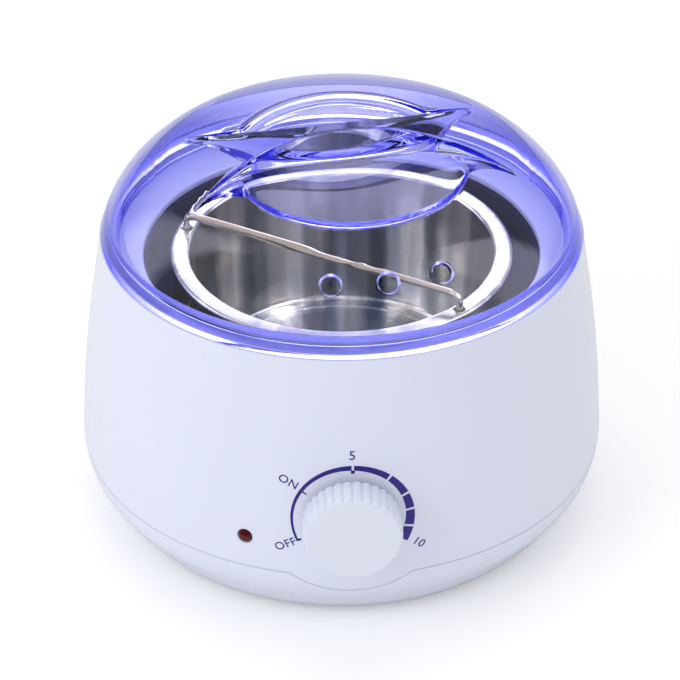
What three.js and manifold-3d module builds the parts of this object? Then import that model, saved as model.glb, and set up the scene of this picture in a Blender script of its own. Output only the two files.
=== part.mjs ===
// Table-top wax warmer: a white two-piece housing, a lift-out aluminium pot with a wire bail and a tinted domed lid.
// Millimetres, +Z up. The origin is the middle of the housing's flat underside. The control knob faces -Y.
import * as THREE from 'three';
import { mergeVertices } from 'three/addons/utils/BufferGeometryUtils.js';
import Module from 'manifold-3d';

const wasm = await Module();
wasm.setup();

// General
const sides = 40;
const smallSides = 12;
const gap = 0.3;
const overrun = 1;

// Housing, split at the parting line
const bodyRadius = 90;
const bodyHeight = 101.2;
const wallThickness = 2.4;
const floorThickness = 2.6;
const wallHeightShares = [0, 0.04, 0.089, 0.158, 0.237, 0.336, 0.474, 0.613, 0.751, 0.87, 0.96];
const wallRadiusShares = [0.8505, 0.8914, 0.9306, 0.9787, 1, 0.9951, 0.9831, 0.966, 0.9447, 0.922, 0.9046];
const wallSteps = 8;
const innerWallSteps = 5;
const partingHeight = 23.7;
const partingGap = 0.3;
const dipRadius = 29.8;

// Rim and deck, where the lid sits and the pot goes in
const rimInset = 0.4;
const rimBevel = 0.6;
const rimWidth = 3.4;
const lidSeatDepth = 2.8;
const deckWidth = 11.1;
const deckFall = 5;

// Heating well under the deck
const wellWall = 1.2;
const wellTopGap = 0.4;
const wellLap = 0.9;
const wellLedgeDrop = 13.8;
const wellLedgeRise = 1.4;
const wellLedgeFillet = 3.1;
const wellBoreClearance = 4.4;
const wellBoreFillet = 3;
const wellFlangeWidth = 7.2;
const wellFlangeDrop = 7.8;

// Well screws and the posts that they go into
const wellScrewCount = 4;
const wellPostRadius = 3.2;
const wellScrewRadius = 1.3;
const wellScrewHole = 1.7;
const wellScrewHeadRadius = 2.8;
const wellScrewHeadHeight = 2;
const wellScrewLength = 8;

// Pot
const potDepth = 51;
const potDrop = 0.4;
const potWall = 1;
const potMargin = 8;
const potDraft = 2.7;
const potFloorFillet = 2.6;
const potStepInset = 5.3;
const potStepDepth = 0.6;
const flangeWidth = 6.6;
const flangeBead = 1.1;
const flangeFillet = 1.4;

// Bail: a wire across the mouth whose legs slide through two holes in the pot's flange
const wireRadius = 1.2;
const wireHalfSides = 4;
const wireLift = 4;
const wireBend = 3.6;
const bailInset = 3;
const bailLeftAngle = 164.6;
const bailRightAngle = -47.4;
const bailHoleRadius = 1.9;
const bailLeg = 30;
const bailHook = 4.5;
const wireSteps = 48;

// Lid
const domeBulge = 0.6;
const domeDrop = 11.7;
const domeSpan = 52;
const domePower = 2.47;
const domeSteps = 6;
const capInset = 20.1;
const capSteps = 4;
const lidRise = 38.2;
const lidWall = 2;
const lidRimWidth = 5.4;
const lidRimHeight = 3;
const lidLipHeight = 2.4;
const lidLipClearance = 0.5;
const lidTurn = 10.1;

// Lid grip: a fin across the crown between two finger scoops
const scoopMargin = 6;
const scoopEndShare = 0.965;
const finHalfWidth = 2.4;
const archEnd = 24.9;
const archPower = 2.2;
const scoopRimRadius = 40;
const scoopRimCentre = 7.8;
const scoopRimReachShare = 0.9;
const wingPower = 1.9;
const finDepth = 10.4;
const finDraftShare = 0.12;
const scoopRimStep = 2.3;
const scoopStepPower = 6;
const backScoopMargin = 11.5;
const backRimRadius = 37.1;
const backRimCentre = -10.9;
const backWing = 6;
const backRimStep = 4.4;
const noseStart = 31.5;
const noseSlope = 1.25;
const scoopUnderGap = 0.3;
const scoopStations = 16;

// Steam vents in the lid
const ventCount = 3;
const ventRadius = 3.6;
const ventInset = 13;
const ventSpacing = 15.15;
const ventTilt = 42;

// Knob on the front
const knobHeight = 46;
const knobRadius = 16.1;
const knobRibs = 32;
const knobRibDepth = 0.6;
const knobLength = 9.4;
const knobBevel = 0.5;
const knobStandOff = 0.7;
const knobCrown = 3;
const knobSkin = 2.6;
const hubRadius = 5.6;

// Thermostat behind the knob
const shaftRadius = 3;
const shaftDepth = 13;
const bushRadius = 5;
const bushProud = 2.8;
const nutRadius = 7.6;
const nutThickness = 1.9;
const thermostatWidth = 24;
const thermostatHeight = 26;
const thermostatDepth = 14;
const padRadius = 8;
const padDepth = 2.8;

// Indicator lamp
const lensDrop = 10.6;
const lensAngle = -112.5;
const lensRadius = 2.3;
const lensProud = 1.5;
const lensCollarRadius = 3.6;
const lensCollar = 1.2;
const lampRadius = 1.9;
const lampLength = 11;

// Heater
const heaterThickness = 2.5;
const heaterRise = 5.9;
const heaterHeadroom = 9.2;
const sleeveThickness = 2.7;
const sleeveMargin = 2;

// Heat shield under the well
const shieldInset = 4.4;
const shieldThickness = 1;
const shieldPlaceShare = 0.25;
const shieldLegRadius = 2.4;
const shieldLegInset = 12;
const shieldLegs = 3;

// Thermal fuse and its clip, against the well's underside
const fuseRadius = 2;
const fuseLength = 14;
const fusePlace = 12;
const clipThickness = 0.8;
const clipWidth = 6;
const clipFoot = 4.5;

// Housing screws, hidden behind the feet
const screwCount = 4;
const screwPostRadius = 4.2;
const screwPostClearance = 0.4;
const screwPostRise = 32.3;
const screwPostDrop = 6.3;
const screwRibThickness = 2.2;
const screwRibRise = 8.3;
const screwBossRadius = 5.6;
const screwRadius = 1.5;
const screwHoleRadius = 1.9;
const screwHeadRadius = 3;
const screwHeadHeight = 2.2;
const screwHeadPlace = 7.4;
const screwLength = 19;

// Feet
const footRadius = 6.5;
const footHeight = 2.7;
const footPocket = 1;
const footBevel = 0.8;

// Cord gland at the back
const glandHeight = 14;
const glandBossRadius = 8.4;
const glandBossDepth = 6.5;
const glandSeat = 1;
const glandFlangeRadius = 6.2;
const glandFlange = 3.4;
const glandNeckRadius = 4.4;
const glandBoreRadius = 3.3;
const glandSnoutRadius = 4.8;
const glandSnout = 2.6;

// Terminal block and the leads inside
const blockLength = 32;
const blockWidth = 14;
const blockHeight = 10;
const blockPlace = 34;
const leadRadius = 1;
const leadHalfSides = 3;
const leadSteps = 12;

// Angles and directions
const radians = THREE.MathUtils.degToRad;
const up = new THREE.Vector3(0, 0, 1);
const beyond = 2 * bodyRadius;

function at(radius, angle, height) {
  return new THREE.Vector3(radius * Math.cos(radians(angle)), radius * Math.sin(radians(angle)), height);
}

// Solids

function signedVolume(positions, triangles) {
  const a = new THREE.Vector3();
  const b = new THREE.Vector3();
  const c = new THREE.Vector3();
  let sum = 0;
  for (let i = 0; i < triangles.length; i += 3) {
    a.fromArray(positions, 3 * triangles[i]);
    b.fromArray(positions, 3 * triangles[i + 1]);
    c.fromArray(positions, 3 * triangles[i + 2]);
    sum += a.dot(b.cross(c));
  }
  return sum;
}

// Turns a closed geometry into a solid, with its shared corners merged, its faces out and no empty triangle.
function solid(geometry) {
  const bare = geometry.index ? geometry.toNonIndexed() : geometry.clone();
  bare.deleteAttribute('normal');
  bare.deleteAttribute('uv');
  const merged = mergeVertices(bare);
  const positions = merged.attributes.position.array;
  const triangles = [];
  for (let i = 0; i < merged.index.count; i += 3) {
    const [a, b, c] = merged.index.array.subarray(i, i + 3);
    if (a !== b && b !== c && c !== a) triangles.push(a, b, c);
  }
  if (signedVolume(positions, triangles) < 0) triangles.reverse();
  const mesh = new wasm.Mesh({ numProp: 3, vertProperties: positions, triVerts: new Uint32Array(triangles) });
  return new wasm.Manifold(mesh);
}

function geometryOf(body) {
  const mesh = body.getMesh();
  const geometry = new THREE.BufferGeometry();
  geometry.setAttribute('position', new THREE.BufferAttribute(new Float32Array(mesh.vertProperties), 3));
  geometry.setIndex(new THREE.BufferAttribute(new Uint32Array(mesh.triVerts), 1));
  const flat = geometry.toNonIndexed();
  flat.computeVertexNormals();
  return flat;
}

function join(bodies) {
  return bodies.reduce((whole, body) => whole.add(body));
}

function cut(body, tools) {
  return tools.reduce((rest, tool) => rest.subtract(tool), body);
}

// A solid of revolution about Z, from [radius, height] pairs.
function turned(outline, segments = sides) {
  const points = outline.map(([radius, height]) => new THREE.Vector2(radius, height));
  return solid(new THREE.LatheGeometry(points, segments).rotateX(Math.PI / 2));
}

// A ring of rectangular section about Z.
function ring(inner, outer, low, high, segments = sides) {
  return turned([[inner, low], [outer, low], [outer, high], [inner, high], [inner, low]], segments);
}

// An upright rod at a place in plan.
function rod(radius, low, high, place = new THREE.Vector3(), segments = smallSides) {
  const geometry = new THREE.CylinderGeometry(radius, radius, high - low, segments);
  return solid(geometry.rotateX(Math.PI / 2).translate(place.x, place.y, (low + high) / 2));
}

// A level rod that points out of the housing at an angle, from one distance from the axis to another.
function spoke(radius, near, far, angle, height, segments = smallSides) {
  const geometry = new THREE.CylinderGeometry(radius, radius, far - near, segments);
  geometry.rotateZ(-Math.PI / 2).translate((near + far) / 2, 0, height).rotateZ(radians(angle));
  return solid(geometry);
}

function block(width, depth, height, centre) {
  return solid(new THREE.BoxGeometry(width, depth, height).translate(centre.x, centre.y, centre.z));
}

// A solid through a row of sections that have the same number of corners.
function loft(sections) {
  const corners = sections[0].length;
  const positions = sections.flat().flatMap((point) => point.toArray());
  const triangles = [];
  for (let i = 0; i + 1 < sections.length; i += 1) {
    for (let j = 0; j < corners; j += 1) {
      const a = i * corners + j;
      const b = i * corners + ((j + 1) % corners);
      triangles.push(a, b, b + corners, a, b + corners, a + corners);
    }
  }
  const last = (sections.length - 1) * corners;
  for (let j = 1; j + 1 < corners; j += 1) {
    triangles.push(0, j + 1, j, last, last + j, last + j + 1);
  }
  const geometry = new THREE.BufferGeometry();
  geometry.setAttribute('position', new THREE.Float32BufferAttribute(positions, 3));
  geometry.setIndex(triangles);
  return solid(geometry);
}

// A round bar along a path, with twice as many sides as each half of its section has.
function bar(path, radius, halfSides, steps) {
  const section = new THREE.Shape().absarc(0, 0, radius, 0, 2 * Math.PI, false);
  return solid(new THREE.ExtrudeGeometry(section, { steps, extrudePath: path, curveSegments: halfSides }));
}

// Housing

const wallLine = new THREE.SplineCurve(
  wallHeightShares.map((share, i) => new THREE.Vector2(share * bodyHeight, wallRadiusShares[i] * bodyRadius)),
);
const wallPoints = wallLine.getPoints(8 * wallSteps).map((point) => [point.y, point.x]);

// The outer radius of the housing at a height.
function wallRadius(height) {
  const i = Math.max(1, wallPoints.findIndex(([, h]) => h >= height));
  const [r0, h0] = wallPoints[i - 1];
  const [r1, h1] = wallPoints[i];
  return r0 + ((r1 - r0) * (height - h0)) / (h1 - h0);
}

function wallOutline(inset, low, high, steps) {
  const outline = [];
  for (let i = 0; i <= steps; i += 1) {
    const height = low + ((high - low) * i) / steps;
    outline.push([wallRadius(height) - inset, height]);
  }
  return outline;
}

// Heights and radii from the rim inwards, down to the pot
const rimLow = wallHeightShares.at(-1) * bodyHeight;
const rimRadius = wallRadiusShares.at(-1) * bodyRadius - rimInset;
const lidSeatRadius = rimRadius - rimWidth;
const deckTop = bodyHeight - lidSeatDepth;
const deckEdge = deckTop - deckFall;
const deckHoleRadius = lidSeatRadius - deckWidth;
const innerTop = deckTop - wallThickness;
const wellRadius = deckHoleRadius - wellLap;
const wellOuter = wellRadius + wellWall;
const wellTop = deckEdge - wallThickness - wellTopGap;
const wellFlangeRadius = wellOuter + wellFlangeWidth;
const wellFlangeHeight = wellTop - wellFlangeDrop;
const wellScrewCircle = (wellOuter + wellFlangeRadius) / 2;
const flangeRadius = wellRadius - potMargin;
const potMouthRadius = flangeRadius - flangeWidth;
const potFloorRadius = potMouthRadius - potDraft;
const potStepRadius = potFloorRadius - potStepInset;
const potHeight = deckEdge - potDrop;
const potFloorHeight = potHeight - potDepth;
const potUnder = potFloorHeight - potWall;
const bailCircle = potMouthRadius + bailInset;
const wellBoreRadius = potMouthRadius + potWall + wellBoreClearance;
const boreOuter = wellBoreRadius + wellWall;
const wellFloor = potUnder - potStepDepth - gap;
const wellUnder = wellFloor - wellWall;
const wellLedgeHeight = potHeight - wellLedgeDrop;
const ledgeTop = wellLedgeHeight + wellLedgeRise;

// Places of what is built round the well
const heaterLow = wellFloor + heaterRise;
const heaterTop = wellLedgeHeight - heaterHeadroom;
const heaterInner = boreOuter + gap;
const sleeveInner = heaterInner + heaterThickness + gap;
const screwCircle = sleeveInner + sleeveThickness + screwPostClearance + screwPostRadius;
const screwPostTop = partingHeight + screwPostRise;
const screwPostLow = partingHeight - screwPostDrop;
const screwRibLow = partingHeight + screwRibRise;
const blockLow = floorThickness + gap;
const blockTop = blockLow + blockHeight;
const leadFloorHeight = blockLow + blockHeight / 2;
const shieldRadius = wellBoreRadius - shieldInset;
const shieldLegCircle = shieldRadius - shieldLegInset;
const shieldHeight = blockTop + (wellUnder - blockTop) * shieldPlaceShare;
const glandFace = wallRadius(glandHeight) - glandSeat;

const shell = turned([
  [0, 0],
  ...wallOutline(0, 0, rimLow, wallSteps),
  [rimRadius, bodyHeight - rimBevel],
  [rimRadius - rimBevel, bodyHeight],
  [lidSeatRadius, bodyHeight],
  [lidSeatRadius, deckTop],
  [deckHoleRadius, deckEdge],
  [deckHoleRadius, deckEdge - wallThickness],
  [lidSeatRadius, innerTop],
  ...wallOutline(wallThickness, floorThickness, innerTop - overrun, innerWallSteps).reverse(),
  [0, floorThickness],
]);

// Filled form out to the middle of the wall and the deck, used to trim what is added inside.
const envelope = turned([
  [0, 0],
  ...wallOutline(wallThickness / 2, 0, rimLow, wallSteps),
  [rimRadius - wallThickness, deckTop - wallThickness / 2],
  [lidSeatRadius, deckTop - wallThickness / 2],
  [deckHoleRadius, deckEdge - wallThickness / 2],
  [0, deckEdge - wallThickness / 2],
]);

const screwAngles = Array.from({ length: screwCount }, (_, i) => 45 + (360 * i) / screwCount);
const wellScrewAngles = Array.from({ length: wellScrewCount }, (_, i) => (360 * i) / wellScrewCount);

// The housing below the parting line, and a disc round the knob that belongs to the upper half.
const underParting = rod(bodyRadius + overrun, -overrun, partingHeight - partingGap / 2, undefined, sides);
const overParting = rod(bodyRadius + overrun, partingHeight + partingGap / 2, bodyHeight + overrun, undefined, sides);
const dipCut = spoke(dipRadius + partingGap / 2, bodyRadius / 2, bodyRadius + overrun, -90, knobHeight, sides);
const dipKeep = spoke(dipRadius - partingGap / 2, bodyRadius / 2, bodyRadius + overrun, -90, knobHeight, sides);
const wallOnly = ring(bodyRadius / 2, bodyRadius + overrun, floorThickness, bodyHeight + overrun);

const wellPostLow = wellFlangeHeight + wellWall + gap;
const knobWall = wallRadius(knobHeight);
const padFace = knobWall - wallThickness - padDepth;
const lensHeight = knobHeight - lensDrop;
const lensWall = wallRadius(lensHeight);

function upperHousing() {
  const wellPosts = wellScrewAngles.map((angle) => {
    return rod(wellPostRadius, wellPostLow, deckTop, at(wellScrewCircle, angle, 0));
  });
  const screwPosts = screwAngles.flatMap((angle) => {
    const post = rod(screwPostRadius, screwPostLow, screwPostTop, at(screwCircle, angle, 0));
    const reach = bodyRadius - screwCircle;
    const rib = new THREE.BoxGeometry(reach, screwRibThickness, screwPostTop - screwRibLow);
    rib.translate(screwCircle + reach / 2, 0, (screwPostTop + screwRibLow) / 2).rotateZ(radians(angle));
    return [post, solid(rib)];
  });
  const pad = spoke(padRadius, padFace, knobWall, -90, knobHeight);
  const inside = join([...wellPosts, ...screwPosts, pad]).intersect(envelope);
  const upperShell = shell.intersect(overParting.add(dipKeep.intersect(wallOnly)));
  const holes = [
    ...wellScrewAngles.map((angle) => rod(wellScrewHole, wellPostLow - overrun, wellPostLow + wellScrewLength,
      at(wellScrewCircle, angle, 0))),
    ...screwAngles.map((angle) => rod(screwHoleRadius, screwPostLow - overrun, screwHeadPlace + screwLength + overrun,
      at(screwCircle, angle, 0))),
    spoke(bushRadius + gap, padFace - overrun, beyond, -90, knobHeight),
    spoke(nutRadius + gap, knobWall, beyond, -90, knobHeight),
    spoke(lensRadius + gap, lensWall - 2 * wallThickness, beyond, lensAngle, lensHeight),
    spoke(lensCollarRadius + gap, lensWall - 2 * wallThickness, lensWall - wallThickness, lensAngle, lensHeight),
  ];
  return cut(upperShell.add(inside), holes);
}

function lowerHousing() {
  const bosses = screwAngles.map((angle) => {
    return rod(screwBossRadius, floorThickness / 2, screwPostLow - gap, at(screwCircle, angle, 0));
  });
  const glandBoss = spoke(glandBossRadius, glandFace - glandBossDepth, bodyRadius, 90, glandHeight);
  const inside = join([...bosses, glandBoss]).intersect(envelope);
  const tools = [
    dipCut,
    ...screwAngles.flatMap((angle) => {
      const place = at(screwCircle, angle, 0);
      return [
        rod(footRadius + gap, -overrun, footPocket, place),
        rod(screwHeadRadius + gap, -overrun, screwHeadPlace, place),
        rod(screwHoleRadius, 0, screwPostLow, place),
      ];
    }),
    spoke(glandFlangeRadius + gap, glandFace, beyond, 90, glandHeight),
    spoke(glandNeckRadius + gap, bodyRadius / 2, beyond, 90, glandHeight),
  ];
  return cut(shell.intersect(underParting).add(inside.intersect(underParting)), tools);
}

// Heating well and what is fixed to it

function heatingWell() {
  const well = turned([
    [0, wellFloor],
    [wellBoreRadius - wellBoreFillet, wellFloor],
    [wellBoreRadius, wellFloor + wellBoreFillet],
    [wellBoreRadius, wellLedgeHeight - wellWall],
    [wellBoreRadius + wellWall, wellLedgeHeight],
    [wellRadius - wellLedgeFillet, ledgeTop],
    [wellRadius, ledgeTop + wellLedgeFillet],
    [wellRadius, wellTop],
    [wellOuter, wellTop],
    [wellOuter, wellFlangeHeight + wellWall],
    [wellFlangeRadius, wellFlangeHeight + wellWall],
    [wellFlangeRadius, wellFlangeHeight],
    [wellOuter, wellFlangeHeight],
    [wellRadius - wellLedgeFillet + wellWall, ledgeTop - wellWall],
    [boreOuter + wellWall, wellLedgeHeight - wellWall],
    [boreOuter, wellLedgeHeight - 2 * wellWall],
    [boreOuter, wellFloor + wellBoreFillet - wellWall / 2],
    [wellBoreRadius - wellBoreFillet + wellWall / 2, wellUnder],
    [0, wellUnder],
  ]);
  const holes = wellScrewAngles.map((angle) => {
    return rod(wellScrewHole, wellFlangeHeight - overrun, wellPostLow, at(wellScrewCircle, angle, 0));
  });
  return cut(well, holes);
}

function bandHeater() {
  return ring(heaterInner, heaterInner + heaterThickness, heaterLow, heaterTop);
}

function insulationSleeve() {
  return ring(sleeveInner, sleeveInner + sleeveThickness, heaterLow - sleeveMargin, heaterTop + sleeveMargin);
}

function heatShield() {
  const disc = rod(shieldRadius, shieldHeight, shieldHeight + shieldThickness, undefined, sides);
  const legs = Array.from({ length: shieldLegs }, (_, i) => {
    const place = at(shieldLegCircle, -90 + (360 * (i + 0.5)) / shieldLegs, 0);
    return rod(shieldLegRadius, shieldHeight + shieldThickness / 2, wellUnder - gap, place);
  });
  return join([disc, ...legs]);
}

const fuseHeight = wellUnder - gap - fuseRadius;

function thermalFuse() {
  const geometry = new THREE.CylinderGeometry(fuseRadius, fuseRadius, fuseLength, smallSides);
  return solid(geometry.rotateZ(Math.PI / 2).translate(0, fusePlace, fuseHeight));
}

// A strap under the fuse, with a foot each side against the well.
function fuseClip() {
  const inner = fuseRadius + gap;
  const outer = inner + clipThickness;
  const top = wellUnder - gap - fuseHeight;
  const strap = new THREE.Shape();
  strap.moveTo(-outer - clipFoot, top);
  strap.lineTo(-outer - clipFoot, top - clipThickness);
  strap.lineTo(-outer, top - clipThickness);
  strap.lineTo(-outer, 0);
  strap.absarc(0, 0, outer, Math.PI, 2 * Math.PI, false);
  strap.lineTo(outer, top - clipThickness);
  strap.lineTo(outer + clipFoot, top - clipThickness);
  strap.lineTo(outer + clipFoot, top);
  strap.lineTo(inner, top);
  strap.lineTo(inner, 0);
  strap.absarc(0, 0, inner, 0, Math.PI, true);
  strap.lineTo(-inner, top);
  const geometry = new THREE.ExtrudeGeometry(strap, { depth: clipWidth, bevelEnabled: false, curveSegments: 8 });
  geometry.translate(0, 0, -clipWidth / 2).rotateX(Math.PI / 2).rotateZ(Math.PI / 2);
  return solid(geometry.translate(0, fusePlace, fuseHeight));
}

function wellScrew(angle) {
  const place = at(wellScrewCircle, angle, 0);
  const head = wellFlangeHeight - gap;
  const shank = rod(wellScrewRadius, head - wellScrewHeadHeight / 2, head + wellScrewLength, place);
  return shank.add(rod(wellScrewHeadRadius, head - wellScrewHeadHeight, head, place));
}

// Pot and bail

function waxPot() {
  const beadLow = potHeight - 2 * flangeBead;
  const pot = turned([
    [0, potFloorHeight - potStepDepth],
    [potStepRadius, potFloorHeight - potStepDepth],
    [potStepRadius + potStepDepth, potFloorHeight],
    [potFloorRadius - potFloorFillet, potFloorHeight],
    [potFloorRadius, potFloorHeight + potFloorFillet],
    [potMouthRadius, potHeight - flangeFillet],
    [potMouthRadius + flangeFillet / 2, potHeight],
    [flangeRadius - flangeBead, potHeight],
    [flangeRadius, potHeight - flangeBead],
    [flangeRadius - flangeBead / 2, beadLow],
    [flangeRadius - 2 * flangeBead, potHeight - potWall],
    [potMouthRadius + flangeFillet, potHeight - potWall],
    [potMouthRadius + potWall, potHeight - flangeFillet - potWall],
    [potFloorRadius + potWall, potFloorHeight + potFloorFillet],
    [potFloorRadius + potWall - potFloorFillet, potUnder],
    [potStepRadius + potStepDepth, potUnder],
    [potStepRadius, potUnder - potStepDepth],
    [0, potUnder - potStepDepth],
  ]);
  const holes = [bailLeftAngle, bailRightAngle].map((angle) => {
    return rod(bailHoleRadius, potHeight - 3 * potWall, potHeight + overrun, at(bailCircle, angle, 0));
  });
  return cut(pot, holes);
}

// The wire's centre line: hook, leg, bend, the stretch across the mouth, and the same at the other end.
function bailHandle() {
  const top = potHeight + wireLift + wireRadius;
  const low = potHeight - bailLeg;
  const ends = [bailLeftAngle, bailRightAngle].map((angle) => at(bailCircle, angle, top));
  const across = ends[1].clone().sub(ends[0]).normalize();
  const turns = [1, -1];
  const path = new THREE.CurvePath();
  const corners = ends.map((end, i) => {
    const inward = across.clone().multiplyScalar(turns[i]);
    const side = up.clone().cross(end).normalize().multiplyScalar(turns[i]);
    const foot = end.clone().setZ(low);
    return {
      tip: foot.clone().addScaledVector(side, bailHook),
      hook: foot,
      hookOut: foot.clone().addScaledVector(side, wireBend / 2),
      hookUp: foot.clone().addScaledVector(up, wireBend / 2),
      legTop: end.clone().addScaledVector(up, -wireBend),
      end,
      span: end.clone().addScaledVector(inward, wireBend),
    };
  });
  const [a, b] = corners;
  path.add(new THREE.LineCurve3(a.tip, a.hookOut));
  path.add(new THREE.QuadraticBezierCurve3(a.hookOut, a.hook, a.hookUp));
  path.add(new THREE.LineCurve3(a.hookUp, a.legTop));
  path.add(new THREE.QuadraticBezierCurve3(a.legTop, a.end, a.span));
  path.add(new THREE.LineCurve3(a.span, b.span));
  path.add(new THREE.QuadraticBezierCurve3(b.span, b.end, b.legTop));
  path.add(new THREE.LineCurve3(b.legTop, b.hookUp));
  path.add(new THREE.QuadraticBezierCurve3(b.hookUp, b.hook, b.hookOut));
  path.add(new THREE.LineCurve3(b.hookOut, b.tip));
  return bar(path, wireRadius, wireHalfSides, wireSteps);
}

// Lid

const domeRadius = rimRadius + domeBulge;
const domeFootHeight = bodyHeight - domeDrop;
const capRadius = domeRadius - capInset;
const lidApexHeight = bodyHeight + lidRise;
const scoopReach = capRadius - scoopMargin;
const scoopRimReach = scoopRimReachShare * scoopRimRadius;
const backScoopReach = capRadius - backScoopMargin;
const ventPlaceRadius = domeRadius - ventInset;

// The dome's outer height at a distance from the axis: a flat crown, with a fuller curve round its edge.
function sideHeight(radius) {
  const share = Math.min(radius / domeRadius, 1);
  return domeFootHeight + domeSpan * (1 - share ** 2) ** (1 / domePower);
}

function domeHeight(radius) {
  const edge = sideHeight(capRadius);
  const crown = lidApexHeight - (lidApexHeight - edge) * (radius / capRadius) ** 2;
  return radius < capRadius ? crown : sideHeight(radius);
}

// The dome's outer radius at a height below the crown.
function sideRadius(height) {
  return domeRadius * Math.sqrt(1 - ((height - domeFootHeight) / domeSpan) ** domePower);
}

function domeOutline(inset, low) {
  const outline = [];
  for (let i = 0; i <= capSteps; i += 1) {
    const radius = (capRadius * i) / capSteps;
    outline.push([Math.max(0, radius - (inset / 2) * (i / capSteps)), domeHeight(radius) - inset]);
  }
  const edge = sideHeight(capRadius);
  for (let i = 1; i <= domeSteps; i += 1) {
    const height = edge + ((low - edge) * i) / domeSteps;
    outline.push([sideRadius(height) - inset, height - inset * (1 - i / domeSteps)]);
  }
  return outline;
}

function archPlace(x) {
  return finHalfWidth + (archEnd - finHalfWidth) * (Math.abs(x) / scoopReach) ** archPower;
}

// Where the front scoop meets the dome on its far side from the fin.
function frontEdge(x) {
  const reach = Math.abs(x);
  const round = (d) => scoopRimCentre + Math.sqrt(scoopRimRadius ** 2 - d ** 2);
  if (reach < scoopRimReach) return round(reach);
  const width = round(scoopRimReach) - archPlace(scoopRimReach);
  return archPlace(x) + width * ((scoopReach - reach) / (scoopReach - scoopRimReach)) ** wingPower;
}

// The same for the smaller back scoop, whose round edge runs out in a narrow wing at each end.
function backEdge(x) {
  const round = backRimCentre + Math.sqrt(Math.max(0, backRimRadius ** 2 - x ** 2));
  const wing = backWing * (1 - Math.abs(x) / backScoopReach);
  return archPlace(x) + Math.hypot(Math.max(0, round - archPlace(x)), wing);
}

const scoops = {
  front: { side: 1, reach: scoopReach, rimReach: scoopRimReach, step: scoopRimStep, edge: frontEdge },
  back: { side: -1, reach: backScoopReach, rimReach: backRimRadius, step: backRimStep, edge: backEdge },
};

// The tool that cuts one scoop, or with a wall the thicker one that clears the lid's inside round it.
function scoopTool(wall, scoop) {
  const side = scoop.side;
  const top = lidApexHeight + lidWall + overrun;
  const reach = scoop.reach * scoopEndShare;
  const sections = [];
  for (let i = 0; i <= scoopStations; i += 1) {
    const x = -reach + (2 * reach * i) / scoopStations;
    const arch = archPlace(x);
    const edge = scoop.edge(x);
    const depth = finDepth * (1 - (x / scoop.reach) ** 2) ** 2;
    const step = scoop.step * Math.max(0, 1 - (x / scoop.rimReach) ** scoopStepPower);
    const foot = arch + depth * finDraftShare;
    const footHeight = domeHeight(Math.hypot(x, arch)) - depth;
    const edgeHeight = domeHeight(Math.hypot(x, edge)) - step;
    const nose = noseSlope * (Math.abs(x) - noseStart);
    const near = wall > 0 ? Math.max(-finHalfWidth, Math.min(arch - wall, nose)) : arch;
    const nearFoot = wall > 0 ? near : foot;
    const drop = wall > 0 ? wall + scoopUnderGap : 0;
    sections.push([
      new THREE.Vector3(x, -side * near, top),
      new THREE.Vector3(x, -side * nearFoot, footHeight - drop),
      new THREE.Vector3(x, -side * (edge + wall), edgeHeight - drop),
      new THREE.Vector3(x, -side * (edge + wall), top),
    ]);
  }
  return loft(sections);
}

const lidLow = bodyHeight + gap;
const lipLow = lidLow - lidLipHeight;
const lipRadius = lidSeatRadius - lidLipClearance;
const lidRimInner = sideRadius(lidLow) - lidRimWidth;

function lid() {
  const outer = turned([
    ...domeOutline(0, lidLow),
    [lipRadius, lidLow],
    [lipRadius, lipLow],
    [0, lipLow],
  ]);
  const inner = turned([
    ...domeOutline(lidWall, lidLow + lidRimHeight),
    [lidRimInner, lidLow + lidRimHeight],
    [lidRimInner, lipLow - overrun],
    [0, lipLow - overrun],
  ]);
  const cavity = cut(inner, [scoopTool(lidWall, scoops.front), scoopTool(lidWall, scoops.back)]);
  const vents = Array.from({ length: ventCount }, (_, i) => {
    const geometry = new THREE.CylinderGeometry(ventRadius, ventRadius, 6 * lidWall, smallSides);
    geometry.rotateX(Math.PI / 2).rotateX(radians(ventTilt)).translate(0, -ventPlaceRadius, domeHeight(ventPlaceRadius));
    return solid(geometry.rotateZ(radians(ventSpacing * (i - (ventCount - 1) / 2))));
  });
  return cut(outer, [scoopTool(0, scoops.front), scoopTool(0, scoops.back), cavity, ...vents]);
}

// Knob and thermostat

const knobBack = wallRadius(partingHeight + partingGap) + knobStandOff - gap;
const knobFace = knobBack + knobLength;
const shaftTip = knobFace - knobCrown + gap;

// The knob's outline, scalloped between its ribs.
function ribbedOutline(radius) {
  const outline = new THREE.Shape();
  const steps = 4 * knobRibs;
  for (let i = 0; i < steps; i += 1) {
    const angle = (2 * Math.PI * i) / steps;
    const r = radius - (i % 4 < 2 ? 0 : knobRibDepth);
    const x = r * Math.cos(angle);
    const y = r * Math.sin(angle);
    if (i === 0) outline.moveTo(x, y);
    else outline.lineTo(x, y);
  }
  outline.closePath();
  return outline;
}

function controlKnob() {
  const settings = { depth: knobLength - knobBevel, bevelEnabled: false };
  const grip = new THREE.ExtrudeGeometry(ribbedOutline(knobRadius), settings);
  const place = (geometry) => geometry.rotateX(Math.PI / 2).translate(0, -knobBack, knobHeight);
  const shape = solid(place(grip));
  const face = spoke(knobRadius - knobRibDepth - knobBevel / 2, knobBack + overrun, knobFace, -90, knobHeight, sides);
  const recess = spoke(knobRadius - knobSkin, knobBack - overrun, knobFace - knobCrown, -90, knobHeight, sides);
  const bore = spoke(shaftRadius + gap, knobBack - overrun, shaftTip, -90, knobHeight);
  const hub = spoke(hubRadius, knobWall + bushProud + gap, knobFace - knobCrown / 2, -90, knobHeight);
  return cut(cut(shape.add(face), [recess]).add(hub), [bore]);
}

const thermostatFace = padFace - gap;
const shaftEnd = thermostatFace - shaftDepth / 2;

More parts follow.
